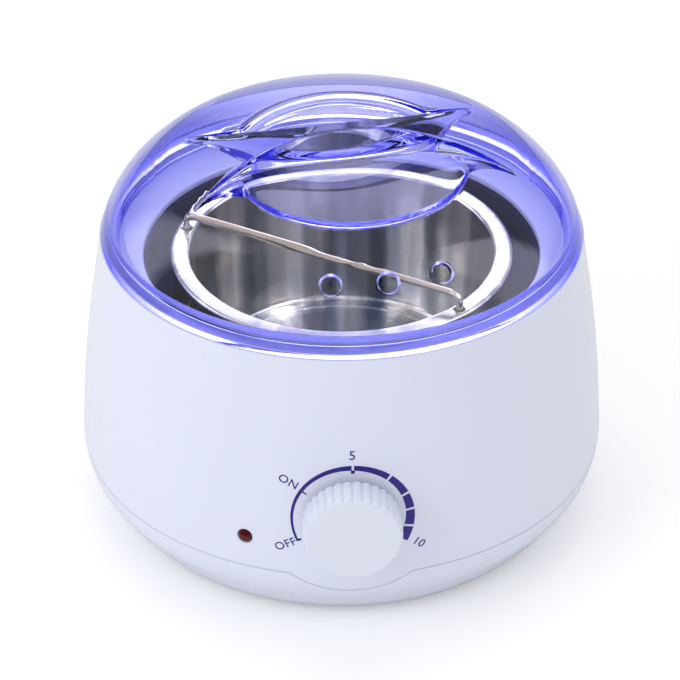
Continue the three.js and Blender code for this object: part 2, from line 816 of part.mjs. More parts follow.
function thermostat() {
  const centre = new THREE.Vector3(0, -(thermostatFace - thermostatDepth / 2), knobHeight);
  const body = block(thermostatWidth, thermostatDepth, thermostatHeight, centre);
  const bush = spoke(bushRadius, thermostatFace - overrun, knobWall + bushProud, -90, knobHeight);
  const bore = spoke(shaftRadius + gap, shaftEnd - gap, beyond, -90, knobHeight);
  return cut(body.add(bush), [bore]);
}

function thermostatShaft() {
  return spoke(shaftRadius, shaftEnd, shaftTip - gap, -90, knobHeight);
}

function thermostatNut() {
  const near = knobWall + gap;
  const nut = spoke(nutRadius, near, near + nutThickness, -90, knobHeight, 6);
  return cut(nut, [spoke(bushRadius + gap, near - overrun, near + nutThickness + overrun, -90, knobHeight)]);
}

// Indicator

const lensBack = lensWall - wallThickness - gap - lensCollar;

function indicatorLens() {
  const length = lensWall - lensBack;
  const lens = turned([
    [0, 0],
    [lensCollarRadius, 0],
    [lensCollarRadius, lensCollar],
    [lensRadius, lensCollar],
    [lensRadius, length],
    [lensRadius * Math.SQRT1_2, length + lensProud * Math.SQRT1_2],
    [0, length + lensProud],
  ], smallSides);
  const lay = new THREE.Matrix4().makeRotationZ(radians(lensAngle));
  lay.multiply(new THREE.Matrix4().makeTranslation(lensBack, 0, lensHeight));
  lay.multiply(new THREE.Matrix4().makeRotationY(Math.PI / 2));
  return solid(geometryOf(lens).applyMatrix4(lay));
}

function neonLamp() {
  const front = lensBack - gap;
  return spoke(lampRadius, front - lampLength, front, lensAngle, lensHeight);
}

// Screws, feet, gland and wiring

function housingScrew(angle) {
  const place = at(screwCircle, angle, 0);
  const top = screwHeadPlace - gap;
  const shank = rod(screwRadius, top - screwHeadHeight / 2, top + screwLength, place);
  return shank.add(rod(screwHeadRadius, top - screwHeadHeight, top, place));
}

function rubberFoot(angle) {
  const top = footPocket - gap;
  const low = top - footHeight;
  const geometry = geometryOf(turned([
    [0, low],
    [footRadius - footBevel, low],
    [footRadius, low + footBevel],
    [footRadius, top],
    [0, top],
  ], smallSides));
  const place = at(screwCircle, angle, 0);
  return solid(geometry.translate(place.x, place.y, 0));
}

function cordGland() {
  const flangeFar = glandFace + gap + glandFlange;
  const flange = spoke(glandFlangeRadius, glandFace + gap, flangeFar, 90, glandHeight);
  const neck = spoke(glandNeckRadius, glandFace - glandBossDepth, flangeFar, 90, glandHeight);
  const snout = spoke(glandSnoutRadius, flangeFar - overrun, flangeFar + glandSnout, 90, glandHeight);
  const bore = spoke(glandBoreRadius, bodyRadius / 2, beyond, 90, glandHeight);
  return cut(join([flange, neck, snout]), [bore]);
}

function terminalBlock() {
  const centre = new THREE.Vector3(0, blockPlace, blockLow + blockHeight / 2);
  return block(blockLength, blockWidth, blockHeight, centre);
}

// Leads run along the floor, clear of the shield, and rise to what they feed.
function lead(points) {
  return bar(new THREE.CatmullRomCurve3(points), leadRadius, leadHalfSides, leadSteps);
}

const point = (x, y, z) => new THREE.Vector3(x, y, z);
const blockFront = blockPlace - blockWidth / 2 - gap;
const blockBack = blockPlace + blockWidth / 2 + gap;
const thermostatLow = knobHeight - thermostatHeight / 2 - gap;
const thermostatPlace = -(thermostatFace - thermostatDepth / 2);
const heaterRadius = heaterInner + heaterThickness / 2;

function thermostatLead() {
  const x = blockLength / 4;
  return lead([
    point(x, blockFront, leadFloorHeight),
    point(x, blockFront - blockWidth, leadFloorHeight),
    point(x, thermostatPlace / 2, leadFloorHeight),
    point(x, thermostatPlace, shieldHeight / 2),
    point(x, thermostatPlace, thermostatLow),
  ]);
}

function heaterLead() {
  const angle = 115;
  const below = heaterLow - gap;
  return lead([
    point(-blockLength / 3, blockBack, leadFloorHeight),
    point(-blockLength / 3, blockBack + blockWidth / 2, leadFloorHeight),
    at(heaterRadius, angle, shieldHeight),
    at(heaterRadius, angle, (shieldHeight + below) / 2),
    at(heaterRadius, angle, below),
  ]);
}

function linkLead() {
  const angle = -60;
  const below = heaterLow - gap;
  const x = thermostatWidth / 3;
  return lead([
    point(x + 4 * leadRadius, thermostatPlace, thermostatLow),
    point(x + 4 * leadRadius, thermostatPlace, thermostatLow - 4 * leadRadius),
    at(heaterRadius, angle, shieldHeight),
    at(heaterRadius, angle, (shieldHeight + below) / 2),
    at(heaterRadius, angle, below),
  ]);
}

function lampLead() {
  const back = lensBack - 2 * gap - lampLength;
  const x = -thermostatWidth / 3;
  return lead([
    at(back, lensAngle, lensHeight),
    at(back - 3 * leadRadius, lensAngle, lensHeight),
    at(back - 6 * leadRadius, lensAngle, lensHeight - 2 * leadRadius),
    point(x, thermostatPlace, thermostatLow - 6 * leadRadius),
    point(x, thermostatPlace, thermostatLow),
  ]);
}

// Materials

function finish(color, roughness, metalness = 0, opacity = 1) {
  return new THREE.MeshStandardMaterial({ color, roughness, metalness, opacity, transparent: opacity < 1 });
}

const whitePlastic = finish('#e4e9f6', 0.18);
const tintedPlastic = finish('#7d7df0', 0.05, 0, 0.45);
const spunAluminium = finish('#c9cdd9', 0.3, 1);
const nickelWire = finish('#d8cfc6', 0.2, 1);
const darkEnamel = finish('#2a2a52', 0.3, 0.4);
const steel = finish('#b9bcc2', 0.35, 1);
const brass = finish('#c7a552', 0.35, 1);
const mica = finish('#9b8f7c', 0.6);
const glassFibre = finish('#ece8dd', 0.95);
const blackPlastic = finish('#26272b', 0.5);
const ceramic = finish('#efe9dc', 0.5);
const redLens = finish('#7d1018', 0.15, 0, 0.85);
const lampGlass = finish('#f0b890', 0.1, 0, 0.5);
const rubber = finish('#55575d', 0.85);
const redSleeve = finish('#b03a2e', 0.7);
const blueSleeve = finish('#2f5fa8', 0.7);

// Assembly

const group = new THREE.Group();

function place(name, body, material, turn = 0) {
  const mesh = new THREE.Mesh(geometryOf(body), material);
  mesh.name = name;
  mesh.rotation.z = radians(turn);
  group.add(mesh);
}

place('lower_housing', lowerHousing(), whitePlastic);
place('upper_housing', upperHousing(), whitePlastic);
place('heating_well', heatingWell(), darkEnamel);
place('band_heater', bandHeater(), mica);
place('insulation_sleeve', insulationSleeve(), glassFibre);
place('heat_shield', heatShield(), steel);
place('thermal_fuse', thermalFuse(), brass);
place('fuse_clip', fuseClip(), steel);
wellScrewAngles.forEach((angle, i) => place(`well_screw_${i + 1}`, wellScrew(angle), steel));
place('wax_pot', waxPot(), spunAluminium);
place('bail_handle', bailHandle(), nickelWire);
place('lid', lid(), tintedPlastic, lidTurn);
place('control_knob', controlKnob(), whitePlastic);
place('thermostat_shaft', thermostatShaft(), brass);
place('thermostat', thermostat(), ceramic);
place('thermostat_nut', thermostatNut(), steel);
place('indicator_lens', indicatorLens(), redLens);
place('neon_lamp', neonLamp(), lampGlass);
screwAngles.forEach((angle, i) => place(`housing_screw_${i + 1}`, housingScrew(angle), steel));
screwAngles.forEach((angle, i) => place(`rubber_foot_${i + 1}`, rubberFoot(angle), rubber));
place('cord_gland', cordGland(), blackPlastic);
place('terminal_block', terminalBlock(), ceramic);
place('thermostat_lead', thermostatLead(), redSleeve);
place('heater_lead', heaterLead(), blueSleeve);
place('link_lead', linkLead(), redSleeve);
place('lamp_lead', lampLead(), blueSleeve);

export default group;
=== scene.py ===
"""Scene of a table-top wax warmer: fine meshes, finishes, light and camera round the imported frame.

Lengths are in millimetres. MM turns them into metres when a mesh, a light or the camera is made. The third
value of an outline's corner is the radius of its rounding.
"""

import logging
import math
from collections.abc import Callable, Sequence
from dataclasses import dataclass
from enum import Enum

import bmesh
import bpy
import numpy as np
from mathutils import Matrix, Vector
from mathutils.geometry import delaunay_2d_cdt


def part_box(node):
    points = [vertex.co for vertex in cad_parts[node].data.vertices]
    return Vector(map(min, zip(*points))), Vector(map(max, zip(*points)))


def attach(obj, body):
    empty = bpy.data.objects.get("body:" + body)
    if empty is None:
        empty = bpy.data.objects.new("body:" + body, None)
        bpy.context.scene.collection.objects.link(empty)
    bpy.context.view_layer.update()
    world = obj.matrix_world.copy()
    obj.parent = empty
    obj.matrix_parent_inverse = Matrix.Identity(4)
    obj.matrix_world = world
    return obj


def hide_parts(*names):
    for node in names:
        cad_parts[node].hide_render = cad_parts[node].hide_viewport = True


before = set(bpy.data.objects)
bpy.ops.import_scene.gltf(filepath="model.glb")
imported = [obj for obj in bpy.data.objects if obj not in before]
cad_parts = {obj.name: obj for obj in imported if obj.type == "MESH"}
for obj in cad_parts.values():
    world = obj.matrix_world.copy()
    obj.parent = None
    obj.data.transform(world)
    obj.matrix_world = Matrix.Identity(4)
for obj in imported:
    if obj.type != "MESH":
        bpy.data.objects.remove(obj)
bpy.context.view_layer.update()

MM = 0.001
WELD = 0.001
SIDES = 288
CAP_ROWS = 7
CORNER_SHARE = 0.48
NEAR_SHARE = 0.6
LOG = logging.getLogger("wax_warmer")

Corner = tuple[float, float, float]
Colour = tuple[float, float, float]
Reals = np.ndarray | float
Item = bpy.types.Object
Socket = bpy.types.NodeSocket


# Meshes

@dataclass
class Skin:
    """Corners and faces of a surface, in millimetres."""

    points: np.ndarray
    faces: list[tuple[int, ...]]

    @classmethod
    def joined(cls, skins: Sequence["Skin"]) -> "Skin":
        """Puts several skins in one.

        Args:
            skins: The skins to join. Corners that meet are welded when the mesh is made.

        Returns:
            One skin with all their faces.
        """
        points = []
        faces = []
        count = 0
        for skin in skins:
            points.append(skin.points)
            faces += [tuple(i + count for i in face) for face in skin.faces]
            count += len(skin.points)
        return cls(np.vstack(points), faces)

    def turned(self, degrees: float) -> "Skin":
        """Turns the skin about the upright axis.

        Args:
            degrees: How far, anticlockwise from above.

        Returns:
            The turned skin.
        """
        a = math.radians(degrees)
        turn = np.array([[math.cos(a), -math.sin(a), 0], [math.sin(a), math.cos(a), 0], [0, 0, 1]])
        return Skin(self.points @ turn.T, self.faces)

    def moved(self, x: float, y: float, z: float) -> "Skin":
        """Returns the skin moved by a vector."""
        return Skin(self.points + np.array([x, y, z]), self.faces)

    def facing(self, axis: str) -> "Skin":
        """Lays an upright skin down.

        Args:
            axis: "-y" points its top at the front, "+y" at the back, "+x" to the right.

        Returns:
            The skin laid down.
        """
        x, y, z = self.points.T
        laid = {"-y": (x, -z, y), "+y": (-x, z, y), "+x": (z, y, -x)}[axis]
        return Skin(np.column_stack(laid), self.faces)


def grid_faces(rows: int, columns: int, closed: bool) -> list[tuple[int, ...]]:
    """Lists the four-sided faces of a grid of corners.

    Args:
        rows: Rows in the grid.
        columns: Corners in each row.
        closed: True where the last corner of a row meets the first.

    Returns:
        The faces.
    """
    faces = []
    for i in range(rows - 1):
        for j in range(columns if closed else columns - 1):
            a = i * columns + j
            b = i * columns + (j + 1) % columns
            faces.append((a, b, b + columns, a + columns))
    return faces


def rounded(corners: Sequence[Corner], closed: bool = False, steps: int = 6) -> np.ndarray:
    """Rounds the corners of an outline.

    Args:
        corners: Points of the outline, each with the radius of its rounding.
        closed: True where the outline runs back to its first point.
        steps: Straight steps in each rounded corner.

    Returns:
        The points of the rounded outline.
    """
    places = np.array([corner[:2] for corner in corners], float)
    count = len(corners)
    points = []
    for i, (_, _, radius) in enumerate(corners):
        here = places[i]
        if radius == 0 or (not closed and i in (0, count - 1)):
            points.append(here)
            continue
        back = places[i - 1] - here
        ahead = places[(i + 1) % count] - here
        near, far = (max(np.linalg.norm(way), WELD / 100) for way in (back, ahead))
        half = math.acos(np.clip(back @ ahead / (near * far), -1, 1)) / 2
        reach = min(radius / max(math.tan(half), WELD), CORNER_SHARE * near, CORNER_SHARE * far)
        start = here + back / near * reach
        end = here + ahead / far * reach
        for t in np.linspace(0, 1, steps + 1):
            points.append((1 - t) ** 2 * start + 2 * t * (1 - t) * here + t ** 2 * end)
    return np.array(points)


def revolved(outline: np.ndarray, closed: bool = True, sides: int = SIDES,
             swell: Callable[[np.ndarray], np.ndarray] | None = None,
             weights: np.ndarray | None = None) -> Skin:
    """Turns an outline of radius and height about the upright axis.

    Args:
        outline: Rows of radius and height.
        closed: True where the outline runs back to its first point.
        sides: Columns round the axis.
        swell: What to add to a radius at an angle, in radians.
        weights: How much of the swell each point of the outline takes.

    Returns:
        The skin.
    """
    angles = ring_angles(sides)
    extra = swell(angles) if swell else np.zeros(sides)
    shares = weights if weights is not None else np.zeros(len(outline))
    radii = outline[:, :1] + shares[:, None] * extra[None, :]
    heights = np.repeat(outline[:, 1:], sides, axis=1)
    points = np.stack([radii * np.cos(angles), radii * np.sin(angles), heights], axis=-1)
    rows = len(outline)
    faces = grid_faces(rows, sides, True)
    if closed:
        last = (rows - 1) * sides
        faces += [(last + j, last + (j + 1) % sides, (j + 1) % sides, j) for j in range(sides)]
    return Skin(points.reshape(-1, 3), faces)


def swept(path: np.ndarray, radius: float, sides: int = 24) -> Skin:
    """Runs a round bar along a path, with a domed cap at each end.

    Args:
        path: Points of the centre line.
        radius: The bar's radius.
        sides: Corners round the bar.

    Returns:
        The closed skin.
    """
    tangents = np.gradient(path, axis=0)
    tangents /= np.linalg.norm(tangents, axis=1)[:, None]
    side = np.cross(tangents[0], [0.0, 0.0, 1.0])
    if np.linalg.norm(side) < 0.1:
        side = np.cross(tangents[0], [1.0, 0.0, 0.0])
    angles = ring_angles(sides)
    rows = []

    def add(centre: np.ndarray, tangent: np.ndarray, size: float) -> None:
        """Adds a ring of corners round a point of the path."""
        other = np.cross(tangent, side)
        rows.append(centre + size * (np.outer(np.cos(angles), side) + np.outer(np.sin(angles), other)))

    caps = np.linspace(math.pi / 2, 0, CAP_ROWS)
    for i, (centre, tangent) in enumerate(zip(path, tangents)):
        side = side - tangent * (side @ tangent)
        side /= np.linalg.norm(side)
        if i == 0:
            for a in caps[:-1]:
                add(centre - tangent * radius * math.sin(a), tangent, radius * math.cos(a))
        add(centre, tangent, radius)
        if i == len(path) - 1:
            for a in caps[::-1][1:]:
                add(centre + tangent * radius * math.sin(a), tangent, radius * math.cos(a))
    return Skin(np.vstack(rows), grid_faces(len(rows), sides, True))


def make_mesh(name: str, skin: Skin, crease: float = 38) -> Item:
    """Makes an object from a skin, welded, facing out, smooth but for its creases.

    Args:
        name: The object's name.
        skin: What it is made of.
        crease: Edges sharper than this, in degrees, stay sharp.

    Returns:
        The new object.
    """
    mesh = bpy.data.meshes.new(name)
    mesh.from_pydata((skin.points * MM).tolist(), [], skin.faces)
    item = bpy.data.objects.new(name, mesh)
    bpy.context.scene.collection.objects.link(item)
    tidy_mesh(item, crease)
    return item


def tidy_mesh(item: Item, crease: float) -> None:
    """Welds a mesh, turns its faces out and marks its creases.

    Args:
        item: The object whose mesh it is.
        crease: Edges sharper than this, in degrees, stay sharp.
    """
    work = bmesh.new()
    work.from_mesh(item.data)
    bmesh.ops.remove_doubles(work, verts=work.verts, dist=WELD * MM)
    bmesh.ops.dissolve_degenerate(work, edges=work.edges, dist=WELD * MM / 10)
    bmesh.ops.recalc_face_normals(work, faces=work.faces)
    limit = math.radians(crease)
    for face in work.faces:
        face.smooth = True
    for edge in work.edges:
        edge.smooth = len(edge.link_faces) != 2 or edge.calc_face_angle() < limit
    work.to_mesh(item.data)
    work.free()


def drill(item: Item, tool: Skin, crease: float = 38, operation: str = "DIFFERENCE") -> None:
    """Cuts a closed tool out of an object, or adds it.

    Args:
        item: The object to cut.
        tool: The tool's skin.
        crease: Edges sharper than this, in degrees, stay sharp.
        operation: DIFFERENCE to cut, UNION to add.
    """
    cutter = make_mesh("cutter", tool)
    step = item.modifiers.new("cut", "BOOLEAN")
    step.object = cutter
    step.operation = operation
    step.solver = "EXACT"
    graph = bpy.context.evaluated_depsgraph_get()
    fresh = bpy.data.meshes.new_from_object(item.evaluated_get(graph))
    item.modifiers.clear()
    old = item.data
    item.data = fresh
    bpy.data.meshes.remove(old)
    bpy.data.objects.remove(cutter)
    tidy_mesh(item, crease)


def inside(points: np.ndarray, loop: np.ndarray) -> np.ndarray:
    """Finds the points of the plane that lie inside a closed loop.

    Args:
        points: The points.
        loop: The loop's corners.

    Returns:
        True for each point inside it.
    """
    x, y = points[:, 0][:, None], points[:, 1][:, None]
    ax, ay = loop[:, 0][None], loop[:, 1][None]
    bx, by = np.roll(loop[:, 0], -1)[None], np.roll(loop[:, 1], -1)[None]
    spans = (ay > y) != (by > y)
    run = np.where(spans, by - ay, 1)
    return (spans & (x < ax + (bx - ax) * (y - ay) / run)).sum(1) % 2 == 1


def webbed(outer: np.ndarray, holes: Sequence[np.ndarray], spacing: float,
           height: Callable[[np.ndarray, np.ndarray], np.ndarray]) -> Skin:
    """Fills a plane region with even triangles and lifts them to a surface.

    Args:
        outer: The region's outer loop.
        holes: Loops that it leaves out.
        spacing: Distance between the points inside it.
        height: The surface's height at x and y.

    Returns:
        The skin, whose edge has the loops' own points.
    """
    low, high = outer.min(0), outer.max(0)
    rows = np.arange(low[1], high[1], spacing * math.sqrt(3) / 2)
    seeds = []
    for i, y in enumerate(rows):
        xs = np.arange(low[0] + (i % 2) * spacing / 2, high[0], spacing)
        seeds.append(np.column_stack([xs, np.full(len(xs), y)]))
    seeds = np.vstack(seeds)
    loops = [outer, *holes]
    rim = np.vstack(loops)
    seeds = seeds[inside(seeds, outer)]
    for hole in holes:
        seeds = seeds[~inside(seeds, hole)]
    near = np.min(np.linalg.norm(seeds[:, None, :] - rim[None, :, :], axis=2), axis=1)
    seeds = seeds[near > spacing * NEAR_SHARE]
    edges = []
    start = 0
    for loop in loops:
        edges += [(start + i, start + (i + 1) % len(loop)) for i in range(len(loop))]
        start += len(loop)
    plan = np.vstack([rim, seeds])
    found = delaunay_2d_cdt([Vector(p) for p in plan.tolist()], edges, [], 0, 1e-7)
    places = np.array([(p.x, p.y) for p in found[0]])
    faces = np.array([face for face in found[2] if len(face) == 3])
    middles = places[faces].mean(1)
    keep = inside(middles, outer)
    for hole in holes:
        keep &= ~inside(middles, hole)
    points = np.column_stack([places, height(places[:, 0], places[:, 1])])
    return Skin(points, [tuple(face) for face in faces[keep].tolist()])


# Finishes

def linear(colour: Colour, gain: float = 1.0) -> tuple[float, ...]:
    """Turns a colour into linear light.

    Args:
        colour: Its sRGB values of 0 to 255.
        gain: What the light is multiplied by.

    Returns:
        The linear colour, with an alpha of 1.
    """
    shares = [c / 255 for c in colour]
    light = [s / 12.92 if s <= 0.04045 else ((s + 0.055) / 1.055) ** 2.4 for s in shares]
    return (*(c * gain for c in light), 1.0)


def grey(level: float) -> tuple[float, ...]:
    """Returns a linear grey."""
    return (level, level, level, 1.0)


class Tree:
    """A node tree, with short ways to add and join nodes."""

    def __init__(self, tree: bpy.types.NodeTree) -> None:
        """Takes up a tree."""
        self.tree = tree

    def feed(self, target: Socket, source: object) -> None:
        """Joins a socket to an input, or sets a plain value there.

        Args:
            target: The input.
            source: The socket or the value.
        """
        if isinstance(source, Socket):
            self.tree.links.new(source, target)
        else:
            target.default_value = source

    def add(self, kind: str, *sources: object, **settings: object) -> bpy.types.Node:
        """Adds a node.

        Args:
            kind: The node's type.
            sources: Sockets or plain values for its open inputs, in order.
            settings: Its properties.

        Returns:
            The node.
        """
        node = self.tree.nodes.new(kind)
        for key, value in settings.items():
            setattr(node, key, value)
        for target, source in zip([socket for socket in node.inputs if socket.enabled], sources):
            self.feed(target, source)
        return node

    def value(self, kind: str, *sources: object, **settings: object) -> Socket:
        """Adds a node and returns its first open output."""
        node = self.add(kind, *sources, **settings)
        return next(socket for socket in node.outputs if socket.enabled)

    def math(self, operation: str, first: object, second: object) -> Socket:
        """Returns what an operation makes of two numbers."""
        return self.value("ShaderNodeMath", first, second, operation=operation)

    def vector(self, operation: str, *sources: object) -> Socket:
        """Returns what an operation makes of vectors."""
        return self.value("ShaderNodeVectorMath", *sources, operation=operation)

    def flat(self, place: Socket) -> Socket:
        """Returns a place without its height."""
        return self.vector("MULTIPLY", place, (1, 1, 0))

    def mixed(self, share: Socket, first: object, second: object) -> Socket:
        """Returns a colour between two."""
        return self.value("ShaderNodeMix", share, first, second, data_type="RGBA")

    def noise(self, place: Socket, scale: float, detail: float = 3) -> Socket:
        """Returns a noise's value at a place."""
        return self.value("ShaderNodeTexNoise", place, scale, detail)

    def spread(self, source: Socket, low: float, high: float, start: float = 0.0, end: float = 1.0,
               way: str = "LINEAR") -> Socket:
        """Runs a value from low to high while the source runs from start to end.

        Args:
            source: The source value.
            low: What is returned at the start.
            high: What is returned at the end.
            start: The source's value at the start.
            end: The source's value at the end.
            way: How it runs between them.

        Returns:
            The new value.
        """
        return self.value("ShaderNodeMapRange", source, start, end, low, high, interpolation_type=way)

    def ramp(self, source: Socket, dark: tuple[float, ...], pale: tuple[float, ...],
             span: tuple[float, float] = (0.3, 0.7)) -> Socket:
        """Runs a colour from dark to pale.

        Args:
            source: The value that drives it.
            dark: The colour at the span's start.
            pale: The colour at the span's end.
            span: The source's values at the start and the end.

        Returns:
            The colour.
        """
        node = self.add("ShaderNodeValToRGB", source)
        for stop, place, colour in zip(node.color_ramp.elements, span, (dark, pale)):
            stop.position = place
            stop.color = colour
        return node.outputs[0]


class Nodes(Tree):
    """A material's node tree, round one Principled shader."""

    INPUTS = {"ior": "IOR", "coat": "Coat Weight", "sheen": "Sheen Weight", "specular": "Specular IOR Level",
              "transmission": "Transmission Weight"}

    def __init__(self, name: str) -> None:
        """Starts a material.

        Args:
            name: The material's name.
        """
        self.material = bpy.data.materials.new(name)
        self.material.use_nodes = True
        super().__init__(self.material.node_tree)
        self.shader = self.tree.nodes["Principled BSDF"]
        self.output = self.tree.nodes["Material Output"]

    def set(self, **values: object) -> None:
        """Feeds the shader's inputs, named in lower case with underscores."""
        for key, value in values.items():
            self.feed(self.shader.inputs[self.INPUTS.get(key, key.replace("_", " ").title())], value)

    def place(self) -> Socket:
        """Returns the place on the piece, in its own frame and in metres."""
        return self.add("ShaderNodeTexCoord").outputs["Object"]

    def heading(self) -> tuple[Socket, Socket]:
        """Returns the direction out from the upright axis, and the distance from it."""
        flat = self.flat(self.place())
        return self.vector("NORMALIZE", flat), self.vector("LENGTH", flat)

    def round_place(self, around: float, along: float, out: float) -> Socket:
        """Finds the place by angle, height and distance from the upright axis.

        Args:
            around: The angle's scale.
            along: The height's scale.
            out: The distance's scale.

        Returns:
            A vector of the three.
        """
        place = self.place()
        x, y, z = self.add("ShaderNodeSeparateXYZ", place).outputs
        parts = (self.math("ARCTAN2", y, x), z, self.vector("LENGTH", self.flat(place)))
        scaled = [self.math("MULTIPLY", part, scale) for part, scale in zip(parts, (around, along, out))]
        return self.value("ShaderNodeCombineXYZ", *scaled)

    def varied(self, place: Socket, scale: float, middle: float, share: float, detail: float = 3) -> Socket:
        """Returns a value that wanders about a middle, by a share of it."""
        return self.spread(self.noise(place, scale, detail), middle * (1 - share), middle * (1 + share))

    def bump(self, source: Socket, strength: float, depth: float) -> None:
        """Drives the surface's fine relief.

        Args:
            source: The relief's height.
            strength: Its strength.
            depth: Its depth in metres.
        """
        node = self.add("ShaderNodeBump", strength, depth)
        self.feed(node.inputs["Height"], source)
        self.set(normal=node.outputs[0])


@dataclass(frozen=True)
class Moulded:
    """A plastic, rubber, ceramic or paint: an even colour with a slight mottle and fine grain."""

    name: str
    colour: Colour
    roughness: float
    mottle: float
    grain: float
    relief: float
    coat: float = 0.0
    specular: float = 0.5
    coat_roughness: float = 0.05
    mottle_scale: float = 30
    rough_share: float = 0.12
    strength: float = 0.3

    def material(self) -> bpy.types.Material:
        """Makes the finish.

        Returns:
            Its material.
        """
        nodes = Nodes(self.name)
        place = nodes.place()
        dark, pale = (linear(self.colour, 1 + sign * self.mottle) for sign in (-1, 1))
        nodes.set(base_color=nodes.ramp(nodes.noise(place, self.mottle_scale), dark, pale),
                  roughness=nodes.varied(place, self.grain / 6, self.roughness, self.rough_share),
                  specular=self.specular, coat=self.coat, coat_roughness=self.coat_roughness)
        nodes.bump(nodes.noise(place, self.grain), self.strength, self.relief)
        return nodes.material


@dataclass(frozen=True)
class SpunMetal:
    """Metal spun round the upright axis, with fine rings that stretch its reflections, and upright pale and
    dark bands of painted reflection in its colour.

    Its reaches are distances from the axis in metres. On the floor the painted reflection is dimmed towards
    the dark colour, and past the plain reach the metal is painted no darker than a set tone, a painted
    highlight on the flange.
    """

    name: str
    pale: Colour
    dark: Colour
    plain_reach: float
    floor_reach: float
    plain_blend: float = 0.001
    floor_blend: float = 0.008
    flange_painted_highlight: float = 0.45
    floor_reflection_tone: float = 0.3
    streak_scale: float = 2.6
    streak_span: tuple[float, float] = (0.4, 0.6)
    fine_scale: float = 14
    fine_span: tuple[float, float] = (0.3, 0.7)
    fine_share: float = 0.22
    roughness: float = 0.18
    rough_share: float = 0.2
    stretch: float = 0.75
    stretch_turn: float = 0.25
    rings: float = 5000
    ring_length: float = 2
    ring_tone: float = 0.93
    relief: float = 0.000004
    strength: float = 0.35
    clouds: float = 45

    def painted_reflection_streaks(self, nodes: Nodes) -> Socket:
        """Works out where the painted reflection makes the metal pale or dark.

        Args:
            nodes: The material's nodes.

        Returns:
            A value from 0, dark, to 1, pale.
        """
        heading, reach = nodes.heading()
        wide = nodes.spread(nodes.noise(heading, self.streak_scale, 2), 0, 1, *self.streak_span)
        fine = nodes.noise(heading, self.fine_scale)
        fine = nodes.spread(fine, -self.fine_share, self.fine_share, *self.fine_span)
        # On the pot's floor the painted reflection is dimmed towards the dark colour.
        floor = (self.floor_reach - self.floor_blend, self.floor_reach)
        floor_dimming = nodes.spread(reach, self.floor_reflection_tone, 1, *floor)
        # Past the plain reach the metal is painted paler: a painted highlight on the flange.
        plain = nodes.spread(reach, 0, self.flange_painted_highlight, self.plain_reach - self.plain_blend, self.plain_reach)
        return nodes.math("MAXIMUM", nodes.math("MULTIPLY", nodes.math("ADD", wide, fine), floor_dimming), plain)

    def material(self) -> bpy.types.Material:
        """Makes the finish.

        Returns:
            Its material.
        """
        nodes = Nodes(self.name)
        # The base colour carries the painted reflection: pale and dark upright bands.
        tone = nodes.ramp(self.painted_reflection_streaks(nodes), linear(self.dark), linear(self.pale), (0, 1))
        lines = nodes.noise(nodes.round_place(self.ring_length, self.rings, self.rings), 1, 4)
        tangent = nodes.value("ShaderNodeTangent", direction_type="RADIAL", axis="Z")
        ringed = nodes.vector("SCALE", tone, nodes.spread(lines, self.ring_tone, 1))
        rough = nodes.varied(nodes.place(), self.clouds, self.roughness, self.rough_share, 4)
        nodes.set(base_color=ringed, metallic=1.0, anisotropic=self.stretch,
                  anisotropic_rotation=self.stretch_turn, tangent=tangent, roughness=rough)
        nodes.bump(lines, self.strength, self.relief)
        return nodes.material


@dataclass(frozen=True)
class DrawnMetal:
    """Drawn or plated metal: wire, screws and pressed sheet."""

    name: str
    colour: Colour
    roughness: float
    wear: float = 0.12
    wear_scale: float = 180
    clouds: float = 700
    rough_share: float = 0.25
    grain: float = 2600
    relief: float = 0.000004
    strength: float = 0.2

    def material(self) -> bpy.types.Material:
        """Makes the finish.

        Returns:
            Its material.
        """
        nodes = Nodes(self.name)
        place = nodes.place()
        dark, pale = (linear(self.colour, 1 - wear) for wear in (self.wear, 0))
        nodes.set(base_color=nodes.ramp(nodes.noise(place, self.wear_scale, 4), dark, pale), metallic=1.0,
                  roughness=nodes.varied(place, self.clouds, self.roughness, self.rough_share))
        nodes.bump(nodes.noise(place, self.grain), self.strength, self.relief)
        return nodes.material


@dataclass(frozen=True)
class Woven:
    """A woven sleeve: fine crossed yarns."""

    name: str
    colour: Colour
    yarns: float = 1100
    twist: float = 0.4
    shade: float = 0.7
    roughness: float = 0.85
    sheen: float = 0.2
    relief: float = 0.0001
    strength: float = 0.6

    def material(self) -> bpy.types.Material:
        """Makes the finish.

        Returns:
            Its material.
        """
        nodes = Nodes(self.name)
        place = nodes.place()
        waves = [nodes.add("ShaderNodeTexWave", place, self.yarns, self.twist, bands_direction=way)
                 for way in ("X", "Z")]
        weave = nodes.math("MULTIPLY", *(wave.outputs["Fac"] for wave in waves))
        nodes.set(base_color=nodes.ramp(weave, linear(self.colour, self.shade), linear(self.colour)),
                  roughness=self.roughness, sheen=self.sheen)
        nodes.bump(weave, self.strength, self.relief)
        return nodes.material


